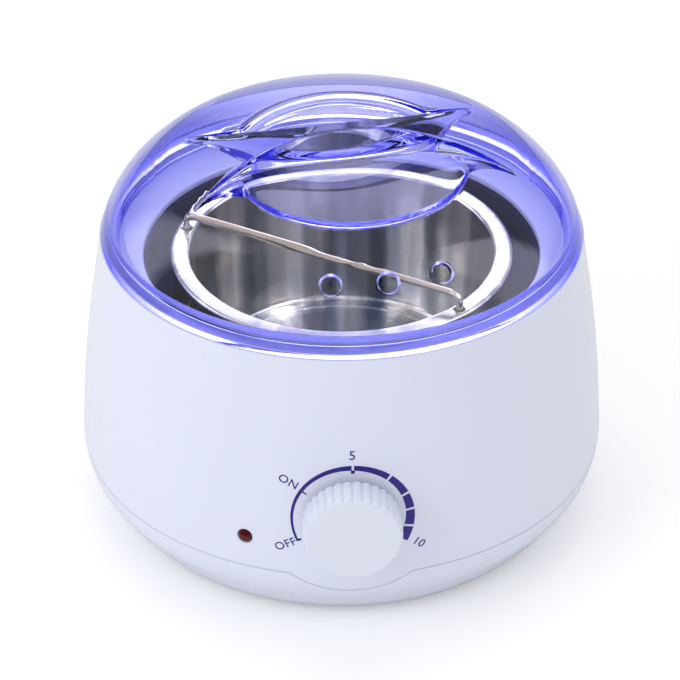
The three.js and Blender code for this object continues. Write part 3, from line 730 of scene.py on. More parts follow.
@dataclass(frozen=True)
class TintedClear:
    """Clear plastic or glass with a tint through its thickness.

    It takes its slant colour, if any, where it is seen at a slant, or its foot's colour near the foot. The
    two blend between two heights in metres.
    """

    name: str
    tint: Colour
    density: float
    roughness: float
    ior: float
    shade: Colour
    slant: Colour | None = None
    foot: Colour | None = None
    foot_low: float = 0.103
    foot_high: float = 0.114
    slant_span: tuple[float, float] = (0.18, 0.66)
    waves: float = 25
    relief: float = 0.0000005
    strength: float = 0.1

    def tone(self, nodes: Nodes) -> object:
        """Finds the surface's own colour.

        Args:
            nodes: The material's nodes.

        Returns:
            White, or the socket of a colour that deepens at a slant.
        """
        if self.slant is None:
            return grey(1)
        height = nodes.add("ShaderNodeSeparateXYZ", nodes.place()).outputs[2]
        rise = nodes.spread(height, 0, 1, self.foot_low, self.foot_high)
        facing = nodes.add("ShaderNodeLayerWeight").outputs["Facing"]
        slant = nodes.mixed(rise, linear(self.foot), linear(self.slant))
        return nodes.mixed(nodes.spread(facing, 0, 1, *self.slant_span), grey(1), slant)

    def material(self) -> bpy.types.Material:
        """Makes the finish, whose shadow is a tinted one.

        Returns:
            Its material.
        """
        nodes = Nodes(self.name)
        nodes.set(base_color=self.tone(nodes), ior=self.ior, transmission=1.0, roughness=self.roughness)
        nodes.bump(nodes.noise(nodes.place(), self.waves, 1), self.strength, self.relief)
        shadow = nodes.add("ShaderNodeLightPath").outputs["Is Shadow Ray"]
        film = nodes.value("ShaderNodeBsdfTransparent", linear(self.shade))
        surface = nodes.value("ShaderNodeMixShader", shadow, nodes.shader.outputs[0], film)
        nodes.feed(nodes.output.inputs["Surface"], surface)
        volume = nodes.value("ShaderNodeVolumeAbsorption", (*self.tint, 1.0), self.density)
        nodes.feed(nodes.output.inputs["Volume"], volume)
        return nodes.material


Finish = Moulded | SpunMetal | DrawnMetal | Woven | TintedClear

KNOB_PLASTIC = Moulded("knob_plastic", (226, 231, 247), 0.34, 0.006, 1500, 0.000008)
PRINT_INK = Moulded("print_ink", (35, 5, 130), 0.35, 0.05, 1500, 0.000004)


class Slot(Enum):
    """The record's material slots, each with the finish that stands for it."""

    WHITE_PLASTIC = Moulded("white_plastic", (226, 231, 249), 0.2, 0.006, 700, 0.000006, coat=0.35)
    DARK_ENAMEL = Moulded("dark_enamel", (22, 22, 66), 0.5, 0.05, 1200, 0.000002, specular=0.04)
    MICA = Moulded("mica_sheet", (165, 150, 128), 0.5, 0.2, 400, 0.00003)
    GLASS_FIBRE = Woven("glass_fibre", (236, 232, 221), 700)
    STEEL = DrawnMetal("zinc_steel", (190, 193, 200), 0.32)
    BRASS = DrawnMetal("brass", (214, 184, 102), 0.3)
    # Its pale and dark colours are those of the painted reflection bands on the spun metal.
    SPUN_ALUMINIUM = SpunMetal("spun_aluminium", (255, 250, 238), (92, 106, 124), 0.0505, 0.0475)
    NICKEL_WIRE = DrawnMetal("nickel_wire", (220, 206, 176), 0.12)
    TINTED_PLASTIC = TintedClear("tinted_plastic", (0.2, 0.2, 0.95), 62, 0.0, 1.49, (266, 266, 276),
                                 slant=(164, 164, 255), foot=(12, 6, 218))
    CERAMIC = Moulded("steatite", (239, 233, 220), 0.45, 0.03, 1200, 0.00001)
    RED_LENS = Moulded("red_lens", (84, 6, 10), 0.16, 0.05, 900, 0.000002, coat=0.1, specular=0.3)
    LAMP_GLASS = TintedClear("lamp_glass", (0.95, 0.75, 0.6), 60, 0.02, 1.5, (240, 220, 210))
    FOOT_RUBBER = Moulded("foot_rubber", (92, 94, 100), 0.75, 0.08, 2200, 0.00004)
    BLACK_PLASTIC = Moulded("black_plastic", (44, 45, 50), 0.42, 0.08, 1400, 0.00002)
    RED_SLEEVE = Woven("red_sleeve", (176, 58, 46))
    BLUE_SLEEVE = Woven("blue_sleeve", (47, 95, 168))

    @property
    def label(self) -> str:
        """Returns the slot's name in the record."""
        return self.name.lower()


class Wardrobe:
    """Makes each finish once and puts it on pieces."""

    def __init__(self) -> None:
        """Starts with nothing made."""
        self.made: dict[str, bpy.types.Material] = {}

    def material(self, finish: Finish) -> bpy.types.Material:
        """Finds a finish's material, made the first time that it is asked for.

        Args:
            finish: The finish.

        Returns:
            Its material.
        """
        if finish.name not in self.made:
            self.made[finish.name] = finish.material()
        return self.made[finish.name]

    def dress(self, item: Item, slot: Slot, body: str, *nodes: str, finish: Finish | None = None) -> None:
        """Gives a new piece its finish and its body, and hides the nodes that it stands for.

        Args:
            item: The piece.
            slot: The record's slot that it takes its finish from.
            body: The body that it rides on.
            nodes: The nodes that it replaces.
            finish: Another finish than the slot's own.
        """
        item.data.materials.clear()
        item.data.materials.append(self.material(finish or slot.value))
        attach(item, body)
        slot.label
        if nodes:
            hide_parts(*nodes)
        LOG.info("%s: %d faces on %s", item.name, len(item.data.polygons), body)

    def redress(self, node: str, slot: Slot) -> None:
        """Gives a kept node a better material.

        Args:
            node: The node.
            slot: The record's slot that it has.
        """
        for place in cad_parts[node].material_slots:
            place.material = self.material(slot.value)
        LOG.info("%s keeps its shape, in %s", node, slot.label)


# Housing

@dataclass
class Housing:
    """The white housing: its wall, rim and deck, and the line where its halves part."""

    radius: float = 89.94
    height: float = 101.2
    wall: float = 2.4
    floor: float = 2.6
    height_shares: tuple[float, ...] = (0, 0.04, 0.089, 0.158, 0.237, 0.336, 0.474, 0.613, 0.751, 0.87, 0.96)
    radius_shares: tuple[float, ...] = (
        0.8505, 0.8914, 0.9306, 0.9787, 1, 0.9951, 0.9831, 0.966, 0.9447, 0.922, 0.9046)
    line_steps: int = 40
    parting: float = 23.7
    parting_gap: float = 0.3
    dip_radius: float = 29.8
    dip_blend: float = 1.6
    knob_height: float = 46
    rim_inset: float = 0.4
    rim_bevel: float = 0.6
    rim_width: float = 3.4
    seat_depth: float = 2.8
    deck_width: float = 11.1
    deck_fall: float = 5
    under_drop: float = 2
    base_inset: float = 1.2
    base_rise: float = 1.4
    floor_rise: float = 2
    edge_round: float = 0.25
    edge_share: float = 0.29
    upper_rows: tuple[int, int] = (46, 24)
    lower_rows: tuple[int, int] = (30, 14)
    sides: int = 480

    def __post_init__(self) -> None:
        """Works out the wall's line and the radii and heights inwards from the rim."""
        heights = np.array(self.height_shares) * self.height
        radii = np.array(self.radius_shares) * self.radius
        self.angles = ring_angles(self.sides)
        self.line_heights, self.line_radii = smooth_line(heights, radii, self.line_steps)
        self.rim_low = heights[-1]
        self.rim_radius = radii[-1] - self.rim_inset
        self.seat_radius = self.rim_radius - self.rim_width
        self.deck_top = self.height - self.seat_depth
        self.deck_edge = self.deck_top - self.deck_fall
        self.hole_radius = self.seat_radius - self.deck_width

    def wall_radius(self, height: Reals) -> Reals:
        """Returns the wall's outer radius at a height."""
        return np.interp(height, self.line_heights, self.line_radii)

    def on_wall(self, x: np.ndarray, height: np.ndarray, lift: Reals) -> np.ndarray:
        """Lays points of the front on the wall.

        Args:
            x: Distances to the right of the knob's axis.
            height: Heights.
            lift: How far out from the wall they lie.

        Returns:
            The points.
        """
        radius = self.wall_radius(height)
        y = -np.sqrt(radius ** 2 - x ** 2)
        grown = (radius + lift) / radius
        return np.column_stack([x * grown, y * grown, height])

    def parting_height(self) -> np.ndarray:
        """Works out the parting line, with its round dip under the knob.

        Returns:
            Its height at each angle.
        """
        x = self.radius * np.cos(self.angles)
        under_knob = (np.sin(self.angles) < 0) & (np.abs(x) < self.dip_radius)
        deep = np.where(under_knob, np.sqrt(np.maximum(self.dip_radius ** 2 - x ** 2, 0)), 0)
        dip = self.knob_height - deep
        share = np.clip(0.5 + 0.5 * (dip - self.parting) / self.dip_blend, 0, 1)
        return dip + (self.parting - dip) * share - self.dip_blend * share * (1 - share)

    def ring(self, radius: Reals, height: Reals) -> np.ndarray:
        """Returns points round the axis, at a radius and height that may follow the angle."""
        return np.column_stack([radius * np.cos(self.angles), radius * np.sin(self.angles),
                                np.broadcast_to(height, self.angles.shape)])

    def band(self, low: Reals, high: Reals, inset: float, rows: int) -> list[np.ndarray]:
        """Returns rows of points up the wall, an inset in from its outer face."""
        heights = np.linspace(low, high, rows)
        return [self.ring(self.wall_radius(height) - inset, height) for height in heights]

    def lip(self, height: np.ndarray, up: int) -> list[np.ndarray]:
        """Makes the rounded edge at the parting line.

        Args:
            height: The edge's height at each angle.
            up: 1 where the wall stands on it, -1 where it hangs from it.

        Returns:
            Its rows, from the wall's outer face to its inner one.
        """
        r, part = self.edge_round, self.edge_share * self.edge_round
        turns = [(0.0, r), (part, part), (r, 0.0), (self.wall, 0.0)]
        return [self.band(height + up * rise, height + up * rise, inset, 1)[0] for inset, rise in turns]

    def upper(self) -> Skin:
        """Makes the upper shell, with its rim and deck.

        Returns:
            Its skin.
        """
        low = self.parting_height() + self.parting_gap / 2
        under = self.deck_top - self.wall
        outer = self.band(low + self.edge_round, self.rim_low, 0, self.upper_rows[0])[1:]
        top = rounded([
            (self.line_radii[-1], self.rim_low, 0), (self.rim_radius, self.height, self.rim_bevel),
            (self.seat_radius, self.height, 0.35), (self.seat_radius, self.deck_top, 0.5),
            (self.hole_radius, self.deck_edge, 1.2), (self.hole_radius, self.deck_edge - self.wall, 0.4),
            (self.seat_radius, under, 1),
            (self.wall_radius(under - self.under_drop) - self.wall, under - self.under_drop, 0),
        ])[1:]
        inner = self.band(top[-1, 1], low, self.wall, self.upper_rows[1])[1:-1]
        rows = outer + [self.ring(r, z) for r, z in top] + inner + self.lip(low, 1)[::-1]
        count = len(rows) * self.sides
        faces = grid_faces(len(rows) + 1, self.sides, True)
        return Skin(np.vstack(rows), [tuple(i % count for i in face) for face in faces])

    def lower(self) -> Skin:
        """Makes the lower shell, with its flat underside.

        Returns:
            Its skin.
        """
        high = self.parting_height() - self.parting_gap / 2
        low = self.floor + self.floor_rise
        base = rounded([(0, 0, 0), (self.line_radii[0] - self.base_inset, 0, 1.5),
                        (self.wall_radius(self.base_rise), self.base_rise, 0)])
        outer = self.band(base[-1, 1], high - self.edge_round, 0, self.lower_rows[0])[1:-1]
        inner = self.band(high, low, self.wall, self.lower_rows[1])[1:]
        floor = rounded([(self.wall_radius(low) - self.wall, low, 0),
                         (self.wall_radius(self.floor) - self.wall, self.floor, 1.5), (0, self.floor, 0)])[1:]
        rows = [self.ring(r, z) for r, z in base] + outer + self.lip(high, -1) + inner
        rows += [self.ring(r, z) for r, z in floor]
        return Skin(np.vstack(rows), grid_faces(len(rows), self.sides, True))


@dataclass
class Shells:
    """The housing's two shells, with their posts, ribs and bosses and the pockets and holes cut into them."""

    housing: Housing
    crease: float = 30
    screw_circle: float = 68
    screw_angles: tuple[float, ...] = (45, 135, 225, 315)
    post_radius: float = 4.2
    post_low: float = 17.4
    post_top: float = 56
    rib_half: float = 1.1
    rib_low: float = 32
    rib_rows: int = 13
    boss_radius: float = 5.6
    gap: float = 0.3
    overrun: float = 1
    hole_radius: float = 1.9
    hole_top: float = 27.4
    head_radius: float = 3.3
    head_place: float = 7.4
    foot_radius: float = 6.8
    foot_pocket: float = 1
    well_circle: float = 70.41
    well_angles: tuple[float, ...] = (0, 90, 180, 270)
    well_post_radius: float = 3.2
    well_post_low: float = 84.3
    well_hole_radius: float = 1.7
    well_hole_top: float = 91.6
    well_hole_drop: float = 3
    bush_radius: float = 5.3
    bush_inset: float = 18
    bush_length: float = 30
    lens_drop: float = 10.6
    lens_angle: float = -112.5
    lens_radius: float = 2.6
    lens_start: float = 3
    lens_length: float = 9
    gland_height: float = 14
    gland_seat: float = 1
    gland_boss_radius: float = 8.4
    gland_boss_depth: float = 6.5
    gland_recess: float = 6.5
    gland_bore: float = 4.7
    gland_bore_length: float = 12
    gland_overrun: float = 9
    stub_shares: tuple[float, ...] = (0, 1, 1, 0.66, 0.33, 0)
    sides: int = 48

    def __post_init__(self) -> None:
        """Works out the lens's height and the face that the gland sits on."""
        self.lens_height = self.housing.knob_height - self.lens_drop
        self.gland_face = float(self.housing.wall_radius(self.gland_height)) - self.gland_seat

    def stub(self, radius: float) -> tuple[np.ndarray, np.ndarray, np.ndarray, list[tuple[int, ...]]]:
        """Lays out a round stub whose end can follow another surface.

        Args:
            radius: Its radius.

        Returns:
            Its rows' x and y across it, which points lie at its far end, and its faces.
        """
        angles = ring_angles(self.sides)
        reaches = np.array(self.stub_shares)[:, None] * radius
        far = np.repeat(np.arange(len(reaches))[:, None] > 1, self.sides, axis=1)
        faces = grid_faces(len(reaches), self.sides, True)
        return reaches * np.cos(angles), reaches * np.sin(angles), far, faces

    def posts(self, circle: float, angles: Sequence[float], radius: float, low: float,
              top: float | None) -> list[Skin]:
        """Makes upright posts in a circle.

        Args:
            circle: The distance of their middles from the axis.
            angles: The directions that they stand in.
            radius: Their radius.
            low: The height of their feet.
            top: The height of their tops, or None where they end inside the deck.

        Returns:
            The posts' skins.
        """
        x, y, far, faces = self.stub(radius)
        x = x + circle
        h = self.housing
        share = (h.seat_radius - np.hypot(x, y)) / h.deck_width
        deck = h.deck_top - h.deck_fall * share - h.wall / 2
        height = np.where(far, deck if top is None else top, low)
        post = Skin(np.stack([x, y, height], axis=-1).reshape(-1, 3), faces)
        return [post.turned(angle) for angle in angles]

    def plug(self, radius: float, length: float) -> Skin:
        """Returns a plain round plug, standing on the axis."""
        return revolved(np.array([(0, 0), (radius, 0), (radius, length), (0, length)]), sides=self.sides)

    def gland_boss(self) -> Skin:
        """Makes the boss round the cord gland, which ends inside the wall.

        Returns:
            Its skin.
        """
        x, z, far, faces = self.stub(self.gland_boss_radius)
        z = z + self.gland_height
        wall = np.sqrt((self.housing.wall_radius(z) - self.housing.wall / 2) ** 2 - x ** 2)
        y = np.where(far, wall, self.gland_face - self.gland_boss_depth)
        return Skin(np.stack([x, y, z], axis=-1).reshape(-1, 3), faces)

    def ribs(self) -> Skin:
        """Makes the ribs between the screw posts and the wall.

        Returns:
            Their skin.
        """
        heights = np.linspace(self.rib_low, self.post_top, self.rib_rows)
        reach = self.housing.wall_radius(heights) - self.housing.wall / 2
        near, side = np.full_like(heights, self.screw_circle), np.full_like(heights, self.rib_half)
        corners = [(near, -side), (reach, -side), (reach, side), (near, side)]
        rows = np.stack([np.column_stack([x, y, heights]) for x, y in corners], axis=1)
        last = 4 * (len(heights) - 1)
        ends = [(3, 2, 1, 0), (last, last + 1, last + 2, last + 3)]
        rib = Skin(rows.reshape(-1, 3), grid_faces(len(heights), 4, True) + ends)
        return Skin.joined([rib.turned(angle) for angle in self.screw_angles])

    def upper_posts(self) -> Skin:
        """Returns the upper shell's posts, for the housing's screws and the well's."""
        return Skin.joined(
            self.posts(self.screw_circle, self.screw_angles, self.post_radius, self.post_low, self.post_top)
            + self.posts(self.well_circle, self.well_angles, self.well_post_radius, self.well_post_low, None))

    def upper_holes(self) -> Skin:
        """Makes the tools for the upper shell's holes: both kinds of screws, the knob's bush and the lens.

        Returns:
            Their skin.
        """
        h = self.housing
        screws = self.posts(self.screw_circle, self.screw_angles, self.hole_radius,
                            self.post_low - self.overrun, self.hole_top)
        well_screws = self.posts(self.well_circle, self.well_angles, self.well_hole_radius,
                                 self.well_post_low - self.overrun, self.well_hole_top)
        bush = self.plug(self.bush_radius, self.bush_length).facing("-y")
        bush = bush.moved(0, -h.radius + self.bush_inset, h.knob_height)
        start = float(h.wall_radius(self.lens_height)) - h.wall - self.lens_start
        lens = self.plug(self.lens_radius, self.lens_length).facing("+x").moved(start, 0, self.lens_height)
        return Skin.joined(screws + well_screws + [bush, lens.turned(self.lens_angle)])

    def well_holes(self) -> Skin:
        """Returns the tools for the holes in the well's flange."""
        low = self.well_post_low - self.well_hole_drop
        return Skin.joined(self.posts(self.well_circle, self.well_angles, self.well_hole_radius, low,
                                      self.well_post_low + self.overrun))

    def lower_bosses(self) -> Skin:
        """Returns the lower shell's screw bosses and the gland's boss."""
        return Skin.joined([*self.posts(self.screw_circle, self.screw_angles, self.boss_radius,
                                        self.housing.floor / 2, self.post_low - self.gap), self.gland_boss()])

    def lower_holes(self) -> Skin:
        """Makes the tools for the lower shell's foot pockets, screw holes and the gland's seat and bore.

        Returns:
            Their skin.
        """
        screw = revolved(np.array([
            (0, -self.overrun), (self.foot_radius, -self.overrun), (self.foot_radius, self.foot_pocket),
            (self.head_radius, self.foot_pocket), (self.head_radius, self.head_place),
            (self.hole_radius, self.head_place), (self.hole_radius, self.post_low), (0, self.post_low)]),
            sides=self.sides).moved(self.screw_circle, 0, 0)
        face = self.gland_face
        start, end = face - self.gland_bore_length, face + self.gland_overrun
        gland = revolved(np.array([
            (0, start), (self.gland_bore, start), (self.gland_bore, face), (self.gland_recess, face),
            (self.gland_recess, end), (0, end)]), sides=self.sides)
        gland = gland.facing("+y").moved(0, 0, self.gland_height)
        return Skin.joined([screw.turned(angle) for angle in self.screw_angles] + [gland])

    def build(self, wardrobe: Wardrobe) -> None:
        """Builds both shells.

        Args:
            wardrobe: Where their finish comes from.
        """
        upper = make_mesh("upper_housing_shell", self.housing.upper(), self.crease)
        drill(upper, self.ribs(), self.crease, "UNION")
        drill(upper, self.upper_posts(), self.crease, "UNION")
        drill(upper, self.upper_holes(), self.crease)
        wardrobe.dress(upper, Slot.WHITE_PLASTIC, "housing", "upper_housing")
        lower = make_mesh("lower_housing_shell", self.housing.lower(), self.crease)
        drill(lower, self.lower_bosses(), self.crease, "UNION")
        drill(lower, self.lower_holes(), self.crease)
        wardrobe.dress(lower, Slot.WHITE_PLASTIC, "housing", "lower_housing")


def ring_angles(sides: int) -> np.ndarray:
    """Returns evenly spaced angles round the axis, in radians."""
    return np.arange(sides) * 2 * math.pi / sides


def smooth_line(heights: np.ndarray, values: np.ndarray, steps: int) -> tuple[np.ndarray, np.ndarray]:
    """Draws a smooth line through points, as a Catmull-Rom spline.

    Args:
        heights: The points' heights.
        values: What the line has at each height.
        steps: Steps between two points.

    Returns:
        The line's heights and values.
    """
    points = np.column_stack([heights, values])
    last = len(points) - 1
    line = []
    for i in range(last):
        p0, p1, p2, p3 = (points[min(max(i + k, 0), last)] for k in (-1, 0, 1, 2))
        v0, v1 = (p2 - p0) / 2, (p3 - p1) / 2
        for t in np.arange(steps) / steps:
            cubic = (2 * p1 - 2 * p2 + v0 + v1) * t ** 3
            line.append(cubic + (-3 * p1 + 3 * p2 - 2 * v0 - v1) * t ** 2 + v0 * t + p1)
    line.append(points[-1])
    return tuple(np.array(line).T)


@dataclass
class Dial:
    """The heat scale printed on the wall round the knob: a swelling arc, its ticks and its labels."""

    housing: Housing
    centre_x: float = 0.3
    centre_height: float = 45.3
    radius: float = 19.9
    start: float = -115
    end: float = 118
    gaps: tuple[float, ...] = (0, 37.9, 63.9, 82.3, 101.5)
    gap_width: float = 0.85
    thin: float = 0.75
    thick: float = 3.4
    ink: float = 0.06
    labels: tuple[tuple[str, float, float, float, float], ...] = (
        ("OFF", -21.2, 34.9, 28, 3.5), ("ON", -20.1, 58.4, -27, 3.5), ("5", 0.15, 68.7, 0, 3.9),
        ("10", 21.6, 34.5, -36, 3.5))
    letter_scale: float = 1.16
    letter_weight: float = 0.02
    letter_spacing: float = 1.08
    letter_steps: int = 6
    cells: int = 5
    arc_step: float = 1.5
    notch: tuple[float, float] = (1.1, 1.3)
    on_tick: tuple[float, float, float, float] = (-58, 2.6, 0.6, 0.55)
    end_tick: tuple[float, float] = (1.7, 0.8)
    join: float = 0.02

    def width(self, angle: Reals) -> Reals:
        """Returns the arc's width at an angle in degrees, clockwise from the top."""
        share = (angle - self.start) / (self.end - self.start)
        return self.thin + (self.thick - self.thin) * (0.45 * share + 0.55 * share ** 2)

    def slab(self, inner: np.ndarray, outer: np.ndarray) -> Skin:
        """Lays a thin slab of ink between two lines on the wall.

        Args:
            inner: One edge, as rows of x and height.
            outer: The other edge, with as many points.

        Returns:
            The closed skin.
        """
        count = len(inner)
        steps = self.cells
        cells = [inner + (outer - inner) * i / steps for i in range(steps + 1)]
        flat = np.vstack(cells)
        under = self.housing.on_wall(flat[:, 0], flat[:, 1], -self.ink)
        over = self.housing.on_wall(flat[:, 0], flat[:, 1], self.ink)
        total = len(flat)
        faces = grid_faces(steps + 1, count, False)
        faces += [tuple(i + total for i in face[::-1]) for face in faces]
        rim = ([(0, j) for j in range(count)] + [(i, count - 1) for i in range(1, steps + 1)]
               + [(steps, j) for j in range(count - 2, -1, -1)] + [(i, 0) for i in range(steps - 1, 0, -1)])
        ids = [i * count + j for i, j in rim]
        faces += [(a, b, b + total, a + total) for a, b in zip(ids, ids[1:] + ids[:1])]
        return Skin(np.vstack([under, over]), faces)

    def around(self, angles: np.ndarray, radius: Reals) -> np.ndarray:
        """Returns x and height at angles, clockwise from the top, and a radius."""
        a = np.radians(angles)
        return np.column_stack([self.centre_x + radius * np.sin(a), self.centre_height + radius * np.cos(a)])

    def tick(self, angle: float, near: float, far: float, width: float) -> Skin:
        """Makes a tick.

        Args:
            angle: Where it stands.
            near: Its inner radius.
            far: Its outer radius.
            width: Its width.

        Returns:
            Its skin.
        """
        half = math.degrees(width / 2 / self.radius)
        angles = np.linspace(angle - half, angle + half, 3)
        return self.slab(self.around(angles, near), self.around(angles, far))

    def skins(self) -> list[Skin]:
        """Makes the arc's stretches and its ticks.

        Returns:
            Their skins.
        """
        half = math.degrees(self.gap_width / 2 / self.radius)
        bounds = [self.start]
        for gap in self.gaps:
            bounds += [gap - half, gap + half]
        bounds.append(self.end)
        parts = []
        for low, high in zip(bounds[::2], bounds[1::2]):
            angles = np.linspace(low, high, max(4, int((high - low) / self.arc_step)))
            inner = self.around(angles, self.radius - self.width(angles))
            parts.append(self.slab(inner, self.around(angles, self.radius)))
        middle = self.radius - self.width(0)
        parts.append(self.tick(0, middle - self.notch[0], middle + self.join, self.notch[1]))
        angle, near, far, width = self.on_tick
        parts.append(self.tick(angle, self.radius - near, self.radius - far, width))
        parts.append(self.tick(self.start, self.radius - self.end_tick[0], self.radius, self.end_tick[1]))
        return parts

    def label(self, words: str, x: float, height: float, slant: float, size: float) -> Item:
        """Makes a label as thin ink on the wall.

        Args:
            words: What it says.
            x: Where its middle is, to the right of the knob's axis.
            height: Its middle's height.
            slant: How far it is turned, in degrees.
            size: The letters' size.

        Returns:
            The label's object.
        """
        text = bpy.data.curves.new(f"label_{words}", "FONT")
        text.body = words
        text.size = size * self.letter_scale
        text.align_x = text.align_y = "CENTER"
        text.offset = self.letter_weight
        text.space_character = self.letter_spacing
        text.extrude = self.ink
        text.resolution_u = self.letter_steps
        holder = bpy.data.objects.new("label_holder", text)
        bpy.context.scene.collection.objects.link(holder)
        graph = bpy.context.evaluated_depsgraph_get()
        mesh = bpy.data.meshes.new_from_object(holder.evaluated_get(graph))
        bpy.data.objects.remove(holder)
        flat = np.array([v.co[:] for v in mesh.vertices])
        faces = [tuple(face.vertices) for face in mesh.polygons]
        bpy.data.meshes.remove(mesh)
        a = math.radians(slant)
        along = flat[:, 0] * math.cos(a) - flat[:, 1] * math.sin(a) + x
        rise = flat[:, 0] * math.sin(a) + flat[:, 1] * math.cos(a) + height
        return make_mesh(f"label_{words.lower()}", Skin(self.housing.on_wall(along, rise, flat[:, 2]), faces))

    def build(self, wardrobe: Wardrobe) -> None:
        """Builds the scale and its labels.

        Args:
            wardrobe: Where their finish comes from.
        """
        scale = make_mesh("dial_scale", Skin.joined(self.skins()))
        wardrobe.dress(scale, Slot.WHITE_PLASTIC, "housing", finish=PRINT_INK)
        for words, x, height, slant, size in self.labels:
            item = self.label(words, x, height, slant, size)
            wardrobe.dress(item, Slot.WHITE_PLASTIC, "housing", finish=PRINT_INK)


@dataclass
class Knob:
    """The ribbed control knob on the front."""

    housing: Housing
    radius: float = 16.1
    ribs: int = 32
    rib_depth: float = 0.62
    length: float = 9.4
    stand_off: float = 0.7
    gap: float = 0.3
    skirt: float = 2.6
    crown: float = 3
    hub_radius: float = 5.6
    shaft_radius: float = 3
    bush_proud: float = 2.8
    face_round: float = 1.1
    steps_per_rib: int = 12
    groove_power: float = 3.2
    groove_reach: float = 2.2
    groove_blend: float = 1.3
    taper: float = 0.35
    face_inset: float = 3.2
    dish: float = 0.12
    back_points: int = 7

    def groove(self, angles: np.ndarray) -> np.ndarray:
        """Returns how far the radius falls at each angle, with narrow grooves between wide ribs."""
        wave = 0.5 + 0.5 * np.cos(self.ribs * angles)
        return -self.rib_depth * wave ** self.groove_power

    def build(self, wardrobe: Wardrobe) -> None:
        """Builds the knob.

        Args:
            wardrobe: Where its finish comes from.
        """
        back = float(self.housing.wall_radius(self.housing.parting + self.housing.parting_gap))
        back += self.stand_off - self.gap
        face = back + self.length
        wall = float(self.housing.wall_radius(self.housing.knob_height))
        inner = self.radius - self.skirt
        hub = wall + self.bush_proud + self.gap
        bore = self.shaft_radius + self.gap
        crown = face - self.crown
        outline = rounded([
            (inner, back, 0.3), (self.radius, back, 0.35), (self.radius - self.taper, face, self.face_round),
            (self.radius - self.face_inset, face, 0), (0, face - self.dish, 0), (0, crown + self.gap, 0),
            (bore, crown + self.gap, 0.2), (bore, hub, 0.3), (self.hub_radius, hub, 0.4),
            (self.hub_radius, crown, 0.5), (inner, crown, 0.6),
        ], closed=True)
        weights = np.clip((outline[:, 0] - (self.radius - self.groove_reach)) / self.groove_blend, 0, 1)
        weights[:self.back_points] *= np.clip((outline[:self.back_points, 0] - inner) / self.skirt, 0, 1)
        sides = self.ribs * self.steps_per_rib
        skin = revolved(outline, sides=sides, swell=self.groove, weights=weights)
        item = make_mesh("control_knob_cap", skin.facing("-y").moved(0, 0, self.housing.knob_height), 50)
        wardrobe.dress(item, Slot.WHITE_PLASTIC, "knob", "control_knob", finish=KNOB_PLASTIC)


@dataclass
class Indicator:
    """The red lens left of the knob."""

    shells: Shells
    radius: float = 2.4
    proud: float = 1.5
    dome_drop: float = 0.4
    dome_steps: int = 14
    collar_radius: float = 3.6
    collar: float = 1.2
    gap: float = 0.3
    sides: int = 64

    def build(self, wardrobe: Wardrobe) -> None:
        """Builds the lens.

        Args:
            wardrobe: Where its finish comes from.
        """
        housing = self.shells.housing
        height = self.shells.lens_height
        back = float(housing.wall_radius(height)) - housing.wall - self.gap - self.collar
        length = housing.wall + self.gap + self.collar
        rise = self.proud + self.dome_drop
        dome = [(self.radius * math.cos(a), length - self.dome_drop + rise * math.sin(a))
                for a in np.linspace(0, math.pi / 2, self.dome_steps)]
        outline = np.array([(0, 0), (self.collar_radius, 0), (self.collar_radius, self.collar),
                            (self.radius, self.collar), *dome])
        skin = revolved(outline, closed=False, sides=self.sides).facing("+x").moved(back, 0, height)
        item = make_mesh("indicator_lens_dome", skin.turned(self.shells.lens_angle))
        wardrobe.dress(item, Slot.RED_LENS, "housing", "indicator_lens")


# Well, pot and bail

